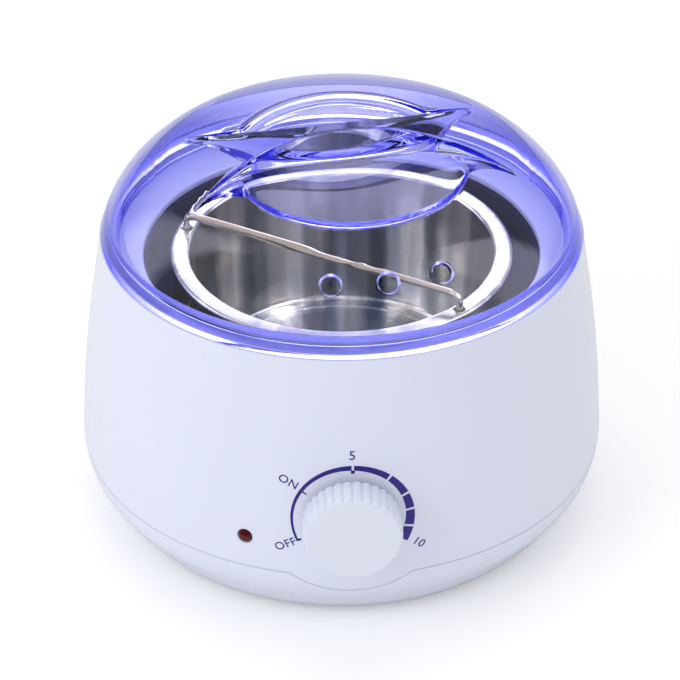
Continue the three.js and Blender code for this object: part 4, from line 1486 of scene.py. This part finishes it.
@dataclass
class Pot:
    """The lift-out pot with its rolled flange and its bail, and the well that it stands in."""

    shells: Shells
    depth: float = 51
    drop: float = 0.4
    wall: float = 1
    margin: float = 8
    draft: float = 2.7
    floor_round: float = 2.6
    step_inset: float = 5.3
    step_depth: float = 0.6
    flange_width: float = 6.6
    bead: float = 1.6
    flange_round: float = 1.4
    gap: float = 0.3
    well_wall: float = 1.2
    well_top_gap: float = 0.4
    well_lap: float = 0.9
    ledge_drop: float = 13.8
    ledge_rise: float = 1.4
    ledge_round: float = 3.1
    bore_clearance: float = 4.4
    bore_round: float = 3
    well_flange_width: float = 7.2
    well_flange_drop: float = 7.8
    bail_inset: float = 3
    bail_angles: tuple[float, float] = (164.6, -47.4)
    bail_hole: float = 1.9
    wire_radius: float = 1.2
    wire_lift: float = 4
    wire_bend: float = 3.6
    bail_leg: float = 30
    bail_hook: float = 4.5
    bend_steps: int = 12
    wire_step: float = 1.5
    hole_depth: float = 4
    hole_bevel: float = 0.3
    hole_sides: int = 48
    overrun: float = 1
    crease: float = 40

    def __post_init__(self) -> None:
        """Works out the radii and heights from the deck inwards."""
        self.housing = self.shells.housing
        self.well_radius = self.housing.hole_radius - self.well_lap
        self.flange_radius = self.well_radius - self.margin
        self.mouth = self.flange_radius - self.flange_width
        self.floor_radius = self.mouth - self.draft
        self.step_radius = self.floor_radius - self.step_inset
        self.top = self.housing.deck_edge - self.drop
        self.floor = self.top - self.depth
        self.bail_circle = self.mouth + self.bail_inset

    def pot_outline(self) -> np.ndarray:
        """Draws the pot's outline, from the middle of its floor up, over the flange and back underneath.

        Returns:
            Rows of radius and height.
        """
        under = self.floor - self.wall
        roll = self.flange_radius - 2 * self.bead
        return rounded([
            (0, self.floor - self.step_depth, 0),
            (self.step_radius, self.floor - self.step_depth, 0.5),
            (self.step_radius + self.step_depth, self.floor, 0.5),
            (self.floor_radius, self.floor, self.floor_round),
            (self.mouth, self.top, self.flange_round),
            (self.flange_radius, self.top, self.bead),
            (self.flange_radius, self.top - 2 * self.bead, self.bead),
            (roll, self.top - 2 * self.bead, 0.5),
            (roll, self.top - self.wall, 0.3),
            (self.mouth + self.wall, self.top - self.wall, 0.8),
            (self.floor_radius + self.wall, under, self.floor_round + self.wall),
            (self.step_radius + self.step_depth, under, 0.5),
            (self.step_radius, under - self.step_depth, 0.5),
            (0, under - self.step_depth, 0),
        ], steps=8)

    def well_outline(self) -> np.ndarray:
        """Draws the well's outline, from the middle of its floor up its inside and down its outside.

        Returns:
            Rows of radius and height.
        """
        t = self.well_wall
        floor = self.floor - self.wall - self.step_depth - self.gap
        bore = self.mouth + self.wall + self.bore_clearance
        top = self.housing.deck_edge - self.housing.wall - self.well_top_gap
        flange = top - self.well_flange_drop
        outer = self.well_radius + t
        ledge = self.top - self.ledge_drop
        rise = ledge + self.ledge_rise
        return rounded([
            (0, floor, 0), (bore, floor, self.bore_round), (bore, ledge, 1.6),
            (self.well_radius, rise, self.ledge_round), (self.well_radius, top, 0.3), (outer, top, 0.3),
            (outer, flange + t, 0.4), (outer + self.well_flange_width, flange + t, 0.3),
            (outer + self.well_flange_width, flange, 0.3), (outer, flange, 0.4),
            (outer, rise - t, self.ledge_round), (bore + t, ledge - t, 1.6),
            (bore + t, floor - t, self.bore_round + t), (0, floor - t, 0),
        ], steps=8)

    def on_circle(self, angle: float) -> tuple[float, float]:
        """Returns the x and y of a hole for the bail."""
        a = math.radians(angle)
        return self.bail_circle * math.cos(a), self.bail_circle * math.sin(a)

    def wire_path(self) -> np.ndarray:
        """Draws the bail's centre line: hook, leg, bend, the stretch across the mouth, and the same back.

        Returns:
            Its points.
        """
        high = self.top + self.wire_lift + self.wire_radius
        low = self.top - self.bail_leg
        ends = [np.array([*self.on_circle(angle), high]) for angle in self.bail_angles]
        across = (ends[1] - ends[0]) / np.linalg.norm(ends[1] - ends[0])
        legs = []
        for end, sign in zip(ends, (1, -1)):
            side = np.cross([0, 0, 1], end)
            side = side / np.linalg.norm(side) * sign
            foot = np.array([end[0], end[1], low])
            rise = np.array([0, 0, 1.0])
            legs.append([
                (foot + side * self.bail_hook, None, foot + side * self.wire_bend / 2),
                (foot + side * self.wire_bend / 2, foot, foot + rise * self.wire_bend / 2),
                (foot + rise * self.wire_bend / 2, None, end - rise * self.wire_bend),
                (end - rise * self.wire_bend, end, end + across * sign * self.wire_bend),
            ])
        span = [(legs[0][-1][2], None, legs[1][-1][2])]
        back = [(far, bend, near) for near, bend, far in legs[1][::-1]]
        points = []
        for near, bend, far in legs[0] + span + back:
            straight = max(2, int(np.linalg.norm(far - near) / self.wire_step))
            steps = straight if bend is None else self.bend_steps
            middle = (near + far) / 2 if bend is None else bend
            for t in np.arange(steps) / steps:
                points.append((1 - t) ** 2 * near + 2 * t * (1 - t) * middle + t ** 2 * far)
        points.append(back[-1][2])
        return np.array(points)

    def hole_tool(self, angle: float) -> Skin:
        """Makes the tool for a bail's hole, a little wider at the flange's upper face.

        Args:
            angle: The direction that the hole lies in.

        Returns:
            Its skin.
        """
        radius, wide = self.bail_hole, self.bail_hole + self.hole_bevel
        low, high = self.top - self.hole_depth, self.top + self.overrun
        slope = (self.top - 0.25, self.top + 0.05)
        outline = np.array([
            (0, low), (radius, low), (radius, slope[0]), (wide, slope[1]), (wide, high), (0, high)])
        return revolved(outline, sides=self.hole_sides).moved(*self.on_circle(angle), 0)

    def build(self, wardrobe: Wardrobe) -> None:
        """Builds the well, the pot and the bail.

        Args:
            wardrobe: Where their finishes come from.
        """
        well = make_mesh("heating_well_skin", revolved(self.well_outline(), closed=False), self.crease)
        drill(well, self.shells.well_holes(), self.crease)
        wardrobe.dress(well, Slot.DARK_ENAMEL, "housing", "heating_well")
        pot = make_mesh("wax_pot_skin", revolved(self.pot_outline(), closed=False), self.crease)
        for angle in self.bail_angles:
            drill(pot, self.hole_tool(angle), self.crease)
        wardrobe.dress(pot, Slot.SPUN_ALUMINIUM, "pot", "wax_pot")
        bail = make_mesh("bail_wire", swept(self.wire_path(), self.wire_radius), 50)
        wardrobe.dress(bail, Slot.NICKEL_WIRE, "bail", "bail_handle")


# Lid

@dataclass
class Lid:
    """The tinted domed lid: crown, sides, thick foot ring, and a fin between two finger scoops."""

    housing: Housing
    bulge: float = 0.6
    foot_drop: float = 11.7
    span: float = 52
    power: float = 2.47
    cap_inset: float = 20.1
    rise: float = 38.2
    fold: float = 3
    wall: float = 2
    rim_width: float = 6.5
    rim_height: float = 6
    lip_height: float = 2.4
    lip_clearance: float = 0.5
    seat_gap: float = 0.3
    turn: float = 10.1
    scoop_margin: float = 6
    fin_half: float = 2.4
    arch_end: float = 24.9
    arch_power: float = 2.2
    rim_circle: float = 40
    rim_centre: float = 7.8
    rim_reach_share: float = 0.9
    wing_power: float = 1.9
    fin_depth: float = 10.4
    draft_share: float = 0.12
    rim_step: float = 1.1
    step_power: int = 6
    back_reach: float = 50.014
    back_circle: float = 37.1
    back_centre: float = -10.9
    back_wing: float = 6
    back_step: float = 4.4
    edge_rounds: tuple[float, float] = (0.7, 0.45)
    back_rounds: tuple[float, float] = (5, 2.6)
    full_width: float = 9
    back_wall: float = 2.2
    back_half: float = 1.5
    brow_round: float = 0.75
    brow_growth: float = 1.2
    brow_power: float = 1.3
    foot_round: float = 1.0
    nose_curve: tuple[float, float, float] = (0.0065, 0.7, 34)
    side_wall: float = 0.8
    strip_half: float = 0.2
    under_gap: float = 0.2
    vent_radius: float = 3.4
    vent_inset: float = 13
    vent_spacing: float = 15.15
    vent_tilt: float = 42
    vents: int = 3
    join_radius: float = 63
    sides: int = SIDES
    line_rows: tuple[int, int, int] = (240, 200, 14)
    stations: int = 360
    spacing: float = 1.2
    crease: float = 42
    join_gap: float = 0.3
    ring_gap: float = 0.8
    ring_round: float = 0.3
    lip_round: float = 0.5
    foot_lean_stop: float = 0.7
    shelf_share: float = 0.955
    loop_rows: tuple[int, int, int] = (900, 400, 80)
    branch_start: float = 20
    loop_spacing: float = 0.5
    loop_ease: float = 2.4
    strip_shares: tuple[float, ...] = (0, 0.02, 0.07, 0.16, 0.3, 0.5, 0.7, 0.84, 0.93, 0.98, 1)

    def __post_init__(self) -> None:
        """Works out the dome's radii and heights, and its smooth line."""
        self.dome_radius = self.housing.rim_radius + self.bulge
        self.foot_height = self.housing.height - self.foot_drop
        self.cap_radius = self.dome_radius - self.cap_inset
        self.apex = self.housing.height + self.rise
        self.reach = self.cap_radius - self.scoop_margin
        self.rim_reach = self.rim_reach_share * self.rim_circle
        self.low = self.housing.height + self.seat_gap
        self.line = self.outer_line()
        slope = np.gradient(self.line, axis=0)
        normals = np.column_stack([-slope[:, 1], slope[:, 0]])
        normals /= np.linalg.norm(normals, axis=1)[:, None]
        self.inner_line = self.line - self.wall * normals
        self.inner_line = self.inner_line[self.inner_line[:, 0] >= 0]

    def side_height(self, radius: Reals) -> Reals:
        """Returns the height of the full curve round the dome's edge."""
        return self.foot_height + self.span * (1 - (radius / self.dome_radius) ** 2) ** (1 / self.power)

    def side_radius(self, height: Reals) -> Reals:
        """Returns the radius of the full curve at a height."""
        return self.dome_radius * np.sqrt(1 - ((height - self.foot_height) / self.span) ** self.power)

    def outer_line(self) -> np.ndarray:
        """Draws the dome's outer line from its top to its foot, with a soft fold where the crown ends.

        Returns:
            Rows of radius and height.
        """
        edge = self.side_height(self.cap_radius)
        crown_rows, side_rows, fold_rows = self.line_rows
        crown_radii = np.linspace(0, self.cap_radius, crown_rows)
        falls = (self.apex - edge) * (crown_radii / self.cap_radius) ** 2
        crown = np.column_stack([crown_radii, self.apex - falls])
        heights = np.linspace(edge, self.low, side_rows)[1:]
        side = np.column_stack([self.side_radius(heights), heights])
        fold = np.array([self.cap_radius, edge])
        crown = crown[np.linalg.norm(crown - fold, axis=1) > self.fold]
        side = side[np.linalg.norm(side - fold, axis=1) > self.fold]
        t = np.linspace(0, 1, fold_rows)[1:-1, None]
        bend = (1 - t) ** 2 * crown[-1] + 2 * t * (1 - t) * fold + t ** 2 * side[0]
        return np.vstack([crown, bend, side])

    def dome(self, x: Reals, y: Reals = 0) -> Reals:
        """Returns the outer face's height at a place in plan."""
        return np.interp(np.hypot(x, y), *self.line.T)

    def inner_dome(self, x: Reals, y: Reals = 0) -> Reals:
        """Returns the inner face's height at a place in plan."""
        return np.interp(np.hypot(x, y), *self.inner_line.T)

    def arch(self, x: np.ndarray) -> np.ndarray:
        """Returns how far the fin's upper edge lies from the fin's middle."""
        return self.fin_half + (self.arch_end - self.fin_half) * (np.abs(x) / self.reach) ** self.arch_power

    def edge(self, x: np.ndarray, side: int) -> np.ndarray:
        """Returns how far a scoop's far edge lies from the fin's middle.

        Args:
            x: Distances along the fin.
            side: 1 for the front scoop, -1 for the back one.

        Returns:
            The distances.
        """
        reach, arch = np.abs(x), self.arch(x)
        if side < 0:
            circle = self.back_centre + np.sqrt(np.maximum(self.back_circle ** 2 - x ** 2, 0))
            wing = self.back_wing * np.clip(1 - reach / self.back_reach, 0, 1)
            return arch + np.hypot(np.maximum(circle - arch, 0), wing)
        circle = self.rim_centre + np.sqrt(np.maximum(self.rim_circle ** 2 - x ** 2, 0))
        rise = math.sqrt(self.rim_circle ** 2 - self.rim_reach ** 2)
        width = self.rim_centre + rise - self.arch(self.rim_reach)
        share = np.clip((self.reach - reach) / (self.reach - self.rim_reach), 0, 1)
        return np.where(reach < self.rim_reach, circle, arch + width * share ** self.wing_power)

    def depth(self, x: np.ndarray, side: int) -> np.ndarray:
        """Returns a scoop's depth along the fin."""
        reach = self.reach if side > 0 else self.back_reach
        return self.fin_depth * np.clip(1 - (x / reach) ** 2, 0, 1) ** 2

    def step(self, x: np.ndarray, side: int) -> np.ndarray:
        """Returns the height of the step at a scoop's far edge."""
        height, reach = (self.rim_step, self.rim_reach) if side > 0 else (self.back_step, self.back_circle)
        return height * np.maximum(0, 1 - (x / reach) ** self.step_power)

    def half_floor(self, x: np.ndarray, across: np.ndarray, side: int) -> tuple[np.ndarray, np.ndarray]:
        """Works out a scoop's floor.

        Args:
            x: Distances along the fin.
            across: Distances from the fin's middle.
            side: 1 for the front scoop, -1 for the back one.

        Returns:
            The floor's height at these places, and how far from the fin's middle it begins.
        """
        arch, edge, depth = self.arch(x), self.edge(x, side), self.depth(x, side)
        foot = arch + depth * self.draft_share
        foot_height = self.dome(x, arch) - depth
        edge_height = self.dome(x, edge) - self.step(x, side)
        share = np.clip((across - foot) / np.maximum(edge - foot, 0.5), 0, 1.3)
        return foot_height + (edge_height - foot_height) * share, foot

    def floor(self, x: np.ndarray, y: np.ndarray) -> np.ndarray:
        """Works out the scoops' floor, carried on smoothly under the fin.

        Args:
            x: Distances along the fin.
            y: Distances across it.

        Returns:
            The floor's heights.
        """
        front, foot = self.half_floor(x, -y, 1)
        back, _ = self.half_floor(x, y, -1)
        share = np.clip((y + foot) / (2 * foot), 0, 1)
        share = share * share * (3 - 2 * share)
        return front + (back - front) * share

    def scoop(self, side: int) -> tuple[Skin, np.ndarray]:
        """Makes one scoop's surface.

        Args:
            side: 1 for the front scoop, -1 for the back one.

        Returns:
            The scoop's skin and its loop in plan.
        """
        reach = self.reach if side > 0 else self.back_reach
        xs = reach * np.sin(np.linspace(-math.pi / 2, math.pi / 2, self.stations + 1))
        far_round, edge_round = self.edge_rounds if side > 0 else self.back_rounds
        sections = []
        for x in xs:
            arch, edge = float(self.arch(x)), float(self.edge(x, side))
            depth, step = float(self.depth(x, side)), float(self.step(x, side))
            size = float(np.clip((edge - arch) / self.full_width, WELD / 10, 1))
            brow = (self.brow_round + self.brow_growth * (abs(x) / reach) ** self.brow_power) * size
            near, far = arch - brow - 0.25 * size, edge + (0.35 + edge_round) * size
            sections.append(rounded([
                (near, self.dome(x, near), 0),
                (arch, self.dome(x, arch), brow),
                (arch + depth * self.draft_share, self.dome(x, arch) - depth, self.foot_round * size),
                (edge - 0.25 * step, self.dome(x, edge) - step, far_round * size),
                (edge, self.dome(x, edge), edge_round * size),
                (far, self.dome(x, far), 0),
            ], steps=8))
        across = np.array([section[:, 0] for section in sections])
        heights = np.array([section[:, 1] for section in sections])
        sized = np.repeat(xs[:, None], across.shape[1], axis=1)
        points = np.stack([sized, -side * across, heights], axis=-1)
        skin = Skin(points.reshape(-1, 3), grid_faces(len(xs), across.shape[1], False))
        near_row, far_row = (np.column_stack([xs, -side * across[:, end]]) for end in (0, -1))
        return skin, np.vstack([near_row, far_row[-2:0:-1]])

    def nose(self, y: np.ndarray) -> np.ndarray:
        """Returns how far from the middle the fin turns hollow, at a distance across it."""
        return np.polyval(self.nose_curve, y)

    def shelf_loop(self) -> np.ndarray:
        """Draws the loop round the inner face's part under the scoops.

        Returns:
            Rows of x, y and half the width of the wall that stands there.
        """
        front_end, back_end = (reach * self.shelf_share for reach in (self.reach, self.back_reach))
        side_rows, search_rows, end_rows = self.loop_rows
        rows = []
        sides = ((1, front_end, self.side_wall, self.strip_half),
                 (-1, back_end, self.back_wall, self.back_half))
        for side, end, wall, half in sides:
            xs = end * np.sin(np.linspace(-math.pi / 2, math.pi / 2, side_rows))
            rows.append(np.column_stack([xs, -side * (self.edge(xs, side) + wall), np.full(len(xs), half)]))
        front, back = rows
        xs = np.linspace(self.branch_start, front_end, search_rows)
        ys = self.side_wall - self.arch(xs)
        tip = np.interp(0, xs - self.nose(ys), xs)
        xs = np.linspace(front_end, tip, end_rows)
        branch = np.column_stack([xs, self.side_wall - self.arch(xs)])
        ys = np.linspace(branch[-1, 1], float(self.arch(back_end)) - self.side_wall, end_rows)[1:-1]
        right = np.vstack([branch, np.column_stack([np.minimum(self.nose(ys), back_end), ys])])
        right = np.column_stack([right, np.full(len(right), self.strip_half)])
        left = right[::-1] * np.array([-1, 1, 1])
        loop = np.vstack([front, right, back[::-1], left])
        return smoothed(resampled(loop, self.loop_spacing), self.loop_ease)

    def shelf_strip(self, loop: np.ndarray) -> tuple[Skin, np.ndarray, np.ndarray]:
        """Makes the inner face's wall between its dome and the shelf under the scoops.

        Args:
            loop: The wall's middle line in plan, and half its width at each point.

        Returns:
            The strip, its outer loop and its inner loop.
        """
        loop, half = loop[:, :2], loop[:, 2:]
        ahead = np.roll(loop, -1, axis=0) - np.roll(loop, 1, axis=0)
        ahead /= np.linalg.norm(ahead, axis=1)[:, None]
        out = np.column_stack([ahead[:, 1], -ahead[:, 0]])
        if not turns_left(loop):
            out = -out
        rows = []
        for share in self.strip_shares:
            spread = 1 - 2 * share
            plan = loop + out * half * math.copysign(abs(spread) ** 3, spread)
            high = self.inner_dome(*plan.T)
            low = self.floor(*plan.T) - self.wall - self.under_gap
            rows.append(np.column_stack([plan, high + (np.minimum(low, high) - high) * share]))
        skin = Skin(np.vstack(rows), grid_faces(len(rows), len(loop), True))
        return skin, rows[0][:, :2], rows[-1][:, :2]

    def outer_skin(self) -> Skin:
        """Makes the outer face: scoops, crown and sides.

        Returns:
            Its skin.
        """
        front, front_loop = self.scoop(1)
        back, back_loop = self.scoop(-1)
        ring = circle_points(self.join_radius, self.sides)
        crown = webbed(ring, [front_loop, back_loop], self.spacing, self.dome)
        line = self.line[self.line[:, 0] > self.join_radius + self.join_gap]
        start = np.array([[self.join_radius, self.dome(self.join_radius)]])
        sides = revolved(np.vstack([start, line[::4], line[-1:]]), closed=False, sides=self.sides)
        return Skin.joined([front, back, crown, sides])

    def inner_skin(self) -> Skin:
        """Makes the inner face: dome, shelf under the scoops, and the foot ring.

        Returns:
            Its skin.
        """
        strip, outer_loop, inner_loop = self.shelf_strip(self.shelf_loop())
        radius = self.join_radius - self.wall
        ring = circle_points(radius, self.sides)
        dome = webbed(ring, [outer_loop], self.spacing, self.inner_dome)
        drop = self.wall + self.under_gap
        shelf = webbed(inner_loop, [], self.spacing, lambda x, y: self.floor(x, y) - drop)
        ring_top = self.low + self.rim_height
        lip_low = self.low - self.lip_height
        ring_inner = float(self.side_radius(self.low)) - self.rim_width
        lip = self.housing.seat_radius - self.lip_clearance
        far, high = self.inner_line.T
        line = self.inner_line[(far > radius + self.join_gap) & (high > ring_top + self.ring_gap)]
        foot = rounded([
            (line[-1, 0], line[-1, 1], 0),
            (np.interp(-ring_top, -high, far), ring_top, self.ring_round),
            (ring_inner, lip_low + self.foot_lean_stop, self.ring_round),
            (ring_inner, lip_low, self.ring_round),
            (lip, lip_low, self.lip_round),
            (lip, self.low, self.ring_round),
            (self.line[-1, 0], self.line[-1, 1], 0),
        ])[1:]
        start = np.array([[radius, self.inner_dome(radius)]])
        sides = revolved(np.vstack([start, line[::4], line[-1:], foot]), closed=False, sides=self.sides)
        return Skin.joined([strip, dome, shelf, sides])

    def vent_tool(self, index: int) -> Skin:
        """Makes the tool for one steam vent, flared where it leaves the dome.

        Args:
            index: Which vent, from 0 at the left.

        Returns:
            Its skin.
        """
        r = self.vent_radius
        outline = np.array([
            (0, -6), (r + 1, -6), (r - 0.2, -self.wall - 0.3), (r - 0.3, -self.wall), (r - 0.3, -1.1),
            (r + 0.1, -0.6), (r + 0.5, 0.2), (r + 0.7, 3), (0, 3)])
        place = self.dome_radius - self.vent_inset
        skin = revolved(outline, sides=64)
        a = math.radians(self.vent_tilt)
        x, y, z = skin.points.T
        tilted = np.column_stack([x, y * math.cos(a) - z * math.sin(a), y * math.sin(a) + z * math.cos(a)])
        skin = Skin(tilted, skin.faces).moved(0, -place, float(self.dome(place)))
        return skin.turned(self.vent_spacing * (index - 1))

    def build(self, wardrobe: Wardrobe) -> None:
        """Builds the lid.

        Args:
            wardrobe: Where its finish comes from.
        """
        skin = Skin.joined([self.outer_skin(), self.inner_skin()])
        item = make_mesh("lid_dome", skin.turned(self.turn), self.crease)
        for index in range(self.vents):
            drill(item, self.vent_tool(index).turned(self.turn), self.crease)
        wardrobe.dress(item, Slot.TINTED_PLASTIC, "lid", "lid")


def circle_points(radius: float, count: int) -> np.ndarray:
    """Returns evenly spaced points on a circle about the axis."""
    angles = ring_angles(count)
    return np.column_stack([radius * np.cos(angles), radius * np.sin(angles)])


def resampled(loop: np.ndarray, spacing: float) -> np.ndarray:
    """Spaces a closed loop's points evenly.

    Args:
        loop: Rows of x, y and what else each point has.
        spacing: Distance between the new points.

    Returns:
        The new rows.
    """
    closed = np.vstack([loop, loop[:1]])
    run = np.concatenate([[0], np.cumsum(np.linalg.norm(np.diff(closed[:, :2], axis=0), axis=1))])
    places = np.linspace(0, run[-1], int(run[-1] / spacing), endpoint=False)
    return np.column_stack([np.interp(places, run, column) for column in closed.T])


def smoothed(loop: np.ndarray, spread: float) -> np.ndarray:
    """Eases a closed loop's corners.

    Args:
        loop: The loop's rows.
        spread: Width, in points, of the bell curve that it is eased by.

    Returns:
        The eased rows.
    """
    reach = int(4 * spread)
    weights = np.exp(-0.5 * (np.arange(-reach, reach + 1) / spread) ** 2)
    weights /= weights.sum()
    total = np.zeros_like(loop)
    for k, weight in zip(range(-reach, reach + 1), weights):
        total += weight * np.roll(loop, k, axis=0)
    return total


def turns_left(loop: np.ndarray) -> bool:
    """Says whether a closed loop runs anticlockwise."""
    ahead = np.roll(loop, -1, axis=0)
    return float((loop[:, 0] * ahead[:, 1] - ahead[:, 0] * loop[:, 1]).sum()) > 0


# Feet and gland

@dataclass
class Feet:
    """The four rubber feet."""

    radius: float = 6.5
    round: float = 0.8
    count: int = 4
    sides: int = 64

    def build(self, wardrobe: Wardrobe) -> None:
        """Builds the feet where their nodes are.

        Args:
            wardrobe: Where their finish comes from.
        """
        for i in range(1, self.count + 1):
            node = f"rubber_foot_{i}"
            low, high = (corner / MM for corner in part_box(node))
            middle = (low + high) / 2
            outline = rounded([
                (0, low.z, 0), (self.radius, low.z, self.round), (self.radius, high.z, 0.2), (0, high.z, 0)])
            skin = revolved(outline, closed=False, sides=self.sides).moved(middle.x, middle.y, 0)
            wardrobe.dress(make_mesh(f"rubber_foot_pad_{i}", skin), Slot.FOOT_RUBBER, "housing", node)


@dataclass
class Gland:
    """The cord gland at the back."""

    shells: Shells
    flange_radius: float = 6.2
    flange: float = 3.4
    neck_radius: float = 4.4
    bore: float = 3.3
    snout_radius: float = 4.8
    snout: float = 2.6
    gap: float = 0.3
    sides: int = 96

    def build(self, wardrobe: Wardrobe) -> None:
        """Builds the gland.

        Args:
            wardrobe: Where its finish comes from.
        """
        face = self.shells.gland_face
        start = face - self.shells.gland_boss_depth
        far = face + self.gap + self.flange
        outline = rounded([
            (self.bore, start, 0.3), (self.neck_radius, start, 0.3),
            (self.neck_radius, face + self.gap, 0.2), (self.flange_radius, face + self.gap, 0.3),
            (self.flange_radius, far, 0.7), (self.snout_radius, far, 0.4),
            (self.snout_radius, far + self.snout, 0.8), (self.bore, far + self.snout, 0.5),
        ], closed=True)
        skin = revolved(outline, sides=self.sides).facing("+y").moved(0, 0, self.shells.gland_height)
        wardrobe.dress(make_mesh("cord_gland_sleeve", skin), Slot.BLACK_PLASTIC, "housing", "cord_gland")


KEPT_NODES = {
    Slot.MICA: ["band_heater"],
    Slot.GLASS_FIBRE: ["insulation_sleeve"],
    Slot.STEEL: ["heat_shield", "fuse_clip", "thermostat_nut", *(f"well_screw_{i}" for i in range(1, 5)),
                 *(f"housing_screw_{i}" for i in range(1, 5))],
    Slot.BRASS: ["thermal_fuse", "thermostat_shaft"],
    Slot.CERAMIC: ["thermostat", "terminal_block"],
    Slot.LAMP_GLASS: ["neon_lamp"],
    Slot.RED_SLEEVE: ["thermostat_lead", "link_lead"],
    Slot.BLUE_SLEEVE: ["heater_lead", "lamp_lead"],
}


# Studio

def stand(name: str, data: bpy.types.ID, place: Corner, target: Corner) -> Item:
    """Stands a lamp or a camera in the scene, aimed at a point.

    Args:
        name: The object's name.
        data: The lamp or the camera.
        place: Where it stands.
        target: What it is aimed at.

    Returns:
        The new object.
    """
    item = bpy.data.objects.new(name, data)
    bpy.context.scene.collection.objects.link(item)
    item.location = Vector(place) * MM
    item.rotation_euler = (Vector(target) - Vector(place)).to_track_quat("-Z", "Y").to_euler()
    return item


@dataclass(frozen=True)
class Lamp:
    """A soft rectangular lamp that faces the warmer and shows in no reflection."""

    name: str
    place: Corner
    size: tuple[float, float]
    power: float
    target: Corner = (0, 0, 70)

    def hang(self) -> None:
        """Hangs the lamp."""
        light = bpy.data.lights.new(self.name, "AREA")
        light.shape = "RECTANGLE"
        light.size, light.size_y = (length * MM for length in self.size)
        light.energy = self.power
        item = stand(self.name, light, self.place, self.target)
        item.visible_glossy = False
        item.visible_transmission = False


@dataclass
class Studio:
    """Floor, light and camera."""

    camera_place: Corner = (-27.9, -745.8, 550.7)
    target: Corner = (-0.56, 0.02, 55.4)
    lens: float = 137.65
    sensor: float = 36
    clip_start: float = 50
    floor_level: float = -2.0
    floor_half: float = 4000
    floor_grey: float = 0.9
    floor_lift: float = 0.22
    panel_scale: float = 1.7
    panel_dark: float = 0.09
    panel_pale: float = 0.42
    panel_span: tuple[float, float] = (0.44, 0.56)
    ceiling: float = 0.1
    ceiling_span: tuple[float, float] = (0.78, 0.94)
    inner_gain: float = 8.8
    room_level: float = 0.68
    bounces: int = 32
    glossy_bounces: int = 24
    lamps: tuple[Lamp, ...] = (
        Lamp("lamp_left", (-1000, -700, 700), (700, 900), 5),
        Lamp("lamp_right", (1000, -500, 600), (400, 900), 1.2),
        Lamp("lamp_top", (0, 300, 1200), (900, 500), 2.6),
    )

    def floor(self) -> None:
        """Lays a pale floor that looks white and keeps the shadow."""
        far = self.floor_half
        corners = np.array([(-far, -far, 0), (far, -far, 0), (far, far, 0), (-far, far, 0)], float)
        item = make_mesh("studio_floor", Skin(corners, [(0, 1, 2, 3)]).moved(0, 0, self.floor_level))
        nodes = Nodes("studio_floor")
        seen = nodes.add("ShaderNodeLightPath").outputs["Is Camera Ray"]
        nodes.set(base_color=grey(self.floor_grey), roughness=0.9, specular=0.0, emission_color=grey(1),
                  emission_strength=nodes.math("MULTIPLY", seen, self.floor_lift))
        item.data.materials.append(nodes.material)

    def world(self) -> None:
        """Lights the room evenly, and shows reflections pale and dark upright panels under a dim ceiling.

        What is seen through the lid is lit more, because the dome's outer face mirrors these panels too.
        """
        world = bpy.data.worlds.new("studio")
        world.use_nodes = True
        bpy.context.scene.world = world
        tree = Tree(world.node_tree)
        place = tree.add("ShaderNodeTexCoord").outputs["Generated"]
        around = tree.vector("NORMALIZE", tree.flat(place))
        panels = tree.ramp(tree.noise(around, self.panel_scale, 1), grey(self.panel_dark),
                           grey(self.panel_pale), self.panel_span)
        height = tree.add("ShaderNodeSeparateXYZ", place).outputs[2]
        rise = tree.spread(height, 0, 1, *self.ceiling_span, way="SMOOTHSTEP")
        path = tree.add("ShaderNodeLightPath").outputs
        room = tree.mixed(rise, panels, grey(self.ceiling))
        shown = tree.mixed(path["Is Glossy Ray"], grey(self.room_level), room)
        background = world.node_tree.nodes["Background"]
        tree.feed(background.inputs["Color"], shown)
        tree.feed(background.inputs["Strength"], tree.spread(path["Is Transmission Ray"], 1, self.inner_gain))

    def camera(self) -> None:
        """Sets the camera at the photographed angle."""
        camera = bpy.data.cameras.new("camera")
        camera.lens = self.lens
        camera.sensor_width = self.sensor
        camera.clip_start = self.clip_start * MM
        bpy.context.scene.camera = stand("camera", camera, self.camera_place, self.target)

    def build(self) -> None:
        """Sets up the room."""
        self.camera()
        self.floor()
        self.world()
        for lamp in self.lamps:
            lamp.hang()
        bpy.context.scene.view_settings.view_transform = "Standard"
        cycles = bpy.context.scene.cycles
        cycles.max_bounces = self.bounces
        cycles.transmission_bounces = self.bounces
        cycles.transparent_max_bounces = self.bounces
        cycles.glossy_bounces = self.glossy_bounces


def main() -> None:
    """Builds the room and the warmer's pieces in order."""
    logging.basicConfig(level=logging.INFO, format="%(message)s")
    Studio().build()
    wardrobe = Wardrobe()
    housing = Housing()
    shells = Shells(housing)
    for piece in (shells, Dial(housing), Knob(housing), Indicator(shells), Pot(shells), Lid(housing), Feet(),
                  Gland(shells)):
        piece.build(wardrobe)
    for slot, nodes in KEPT_NODES.items():
        for node in nodes:
            wardrobe.redress(node, slot)


if __name__ == "__main__":
    main()
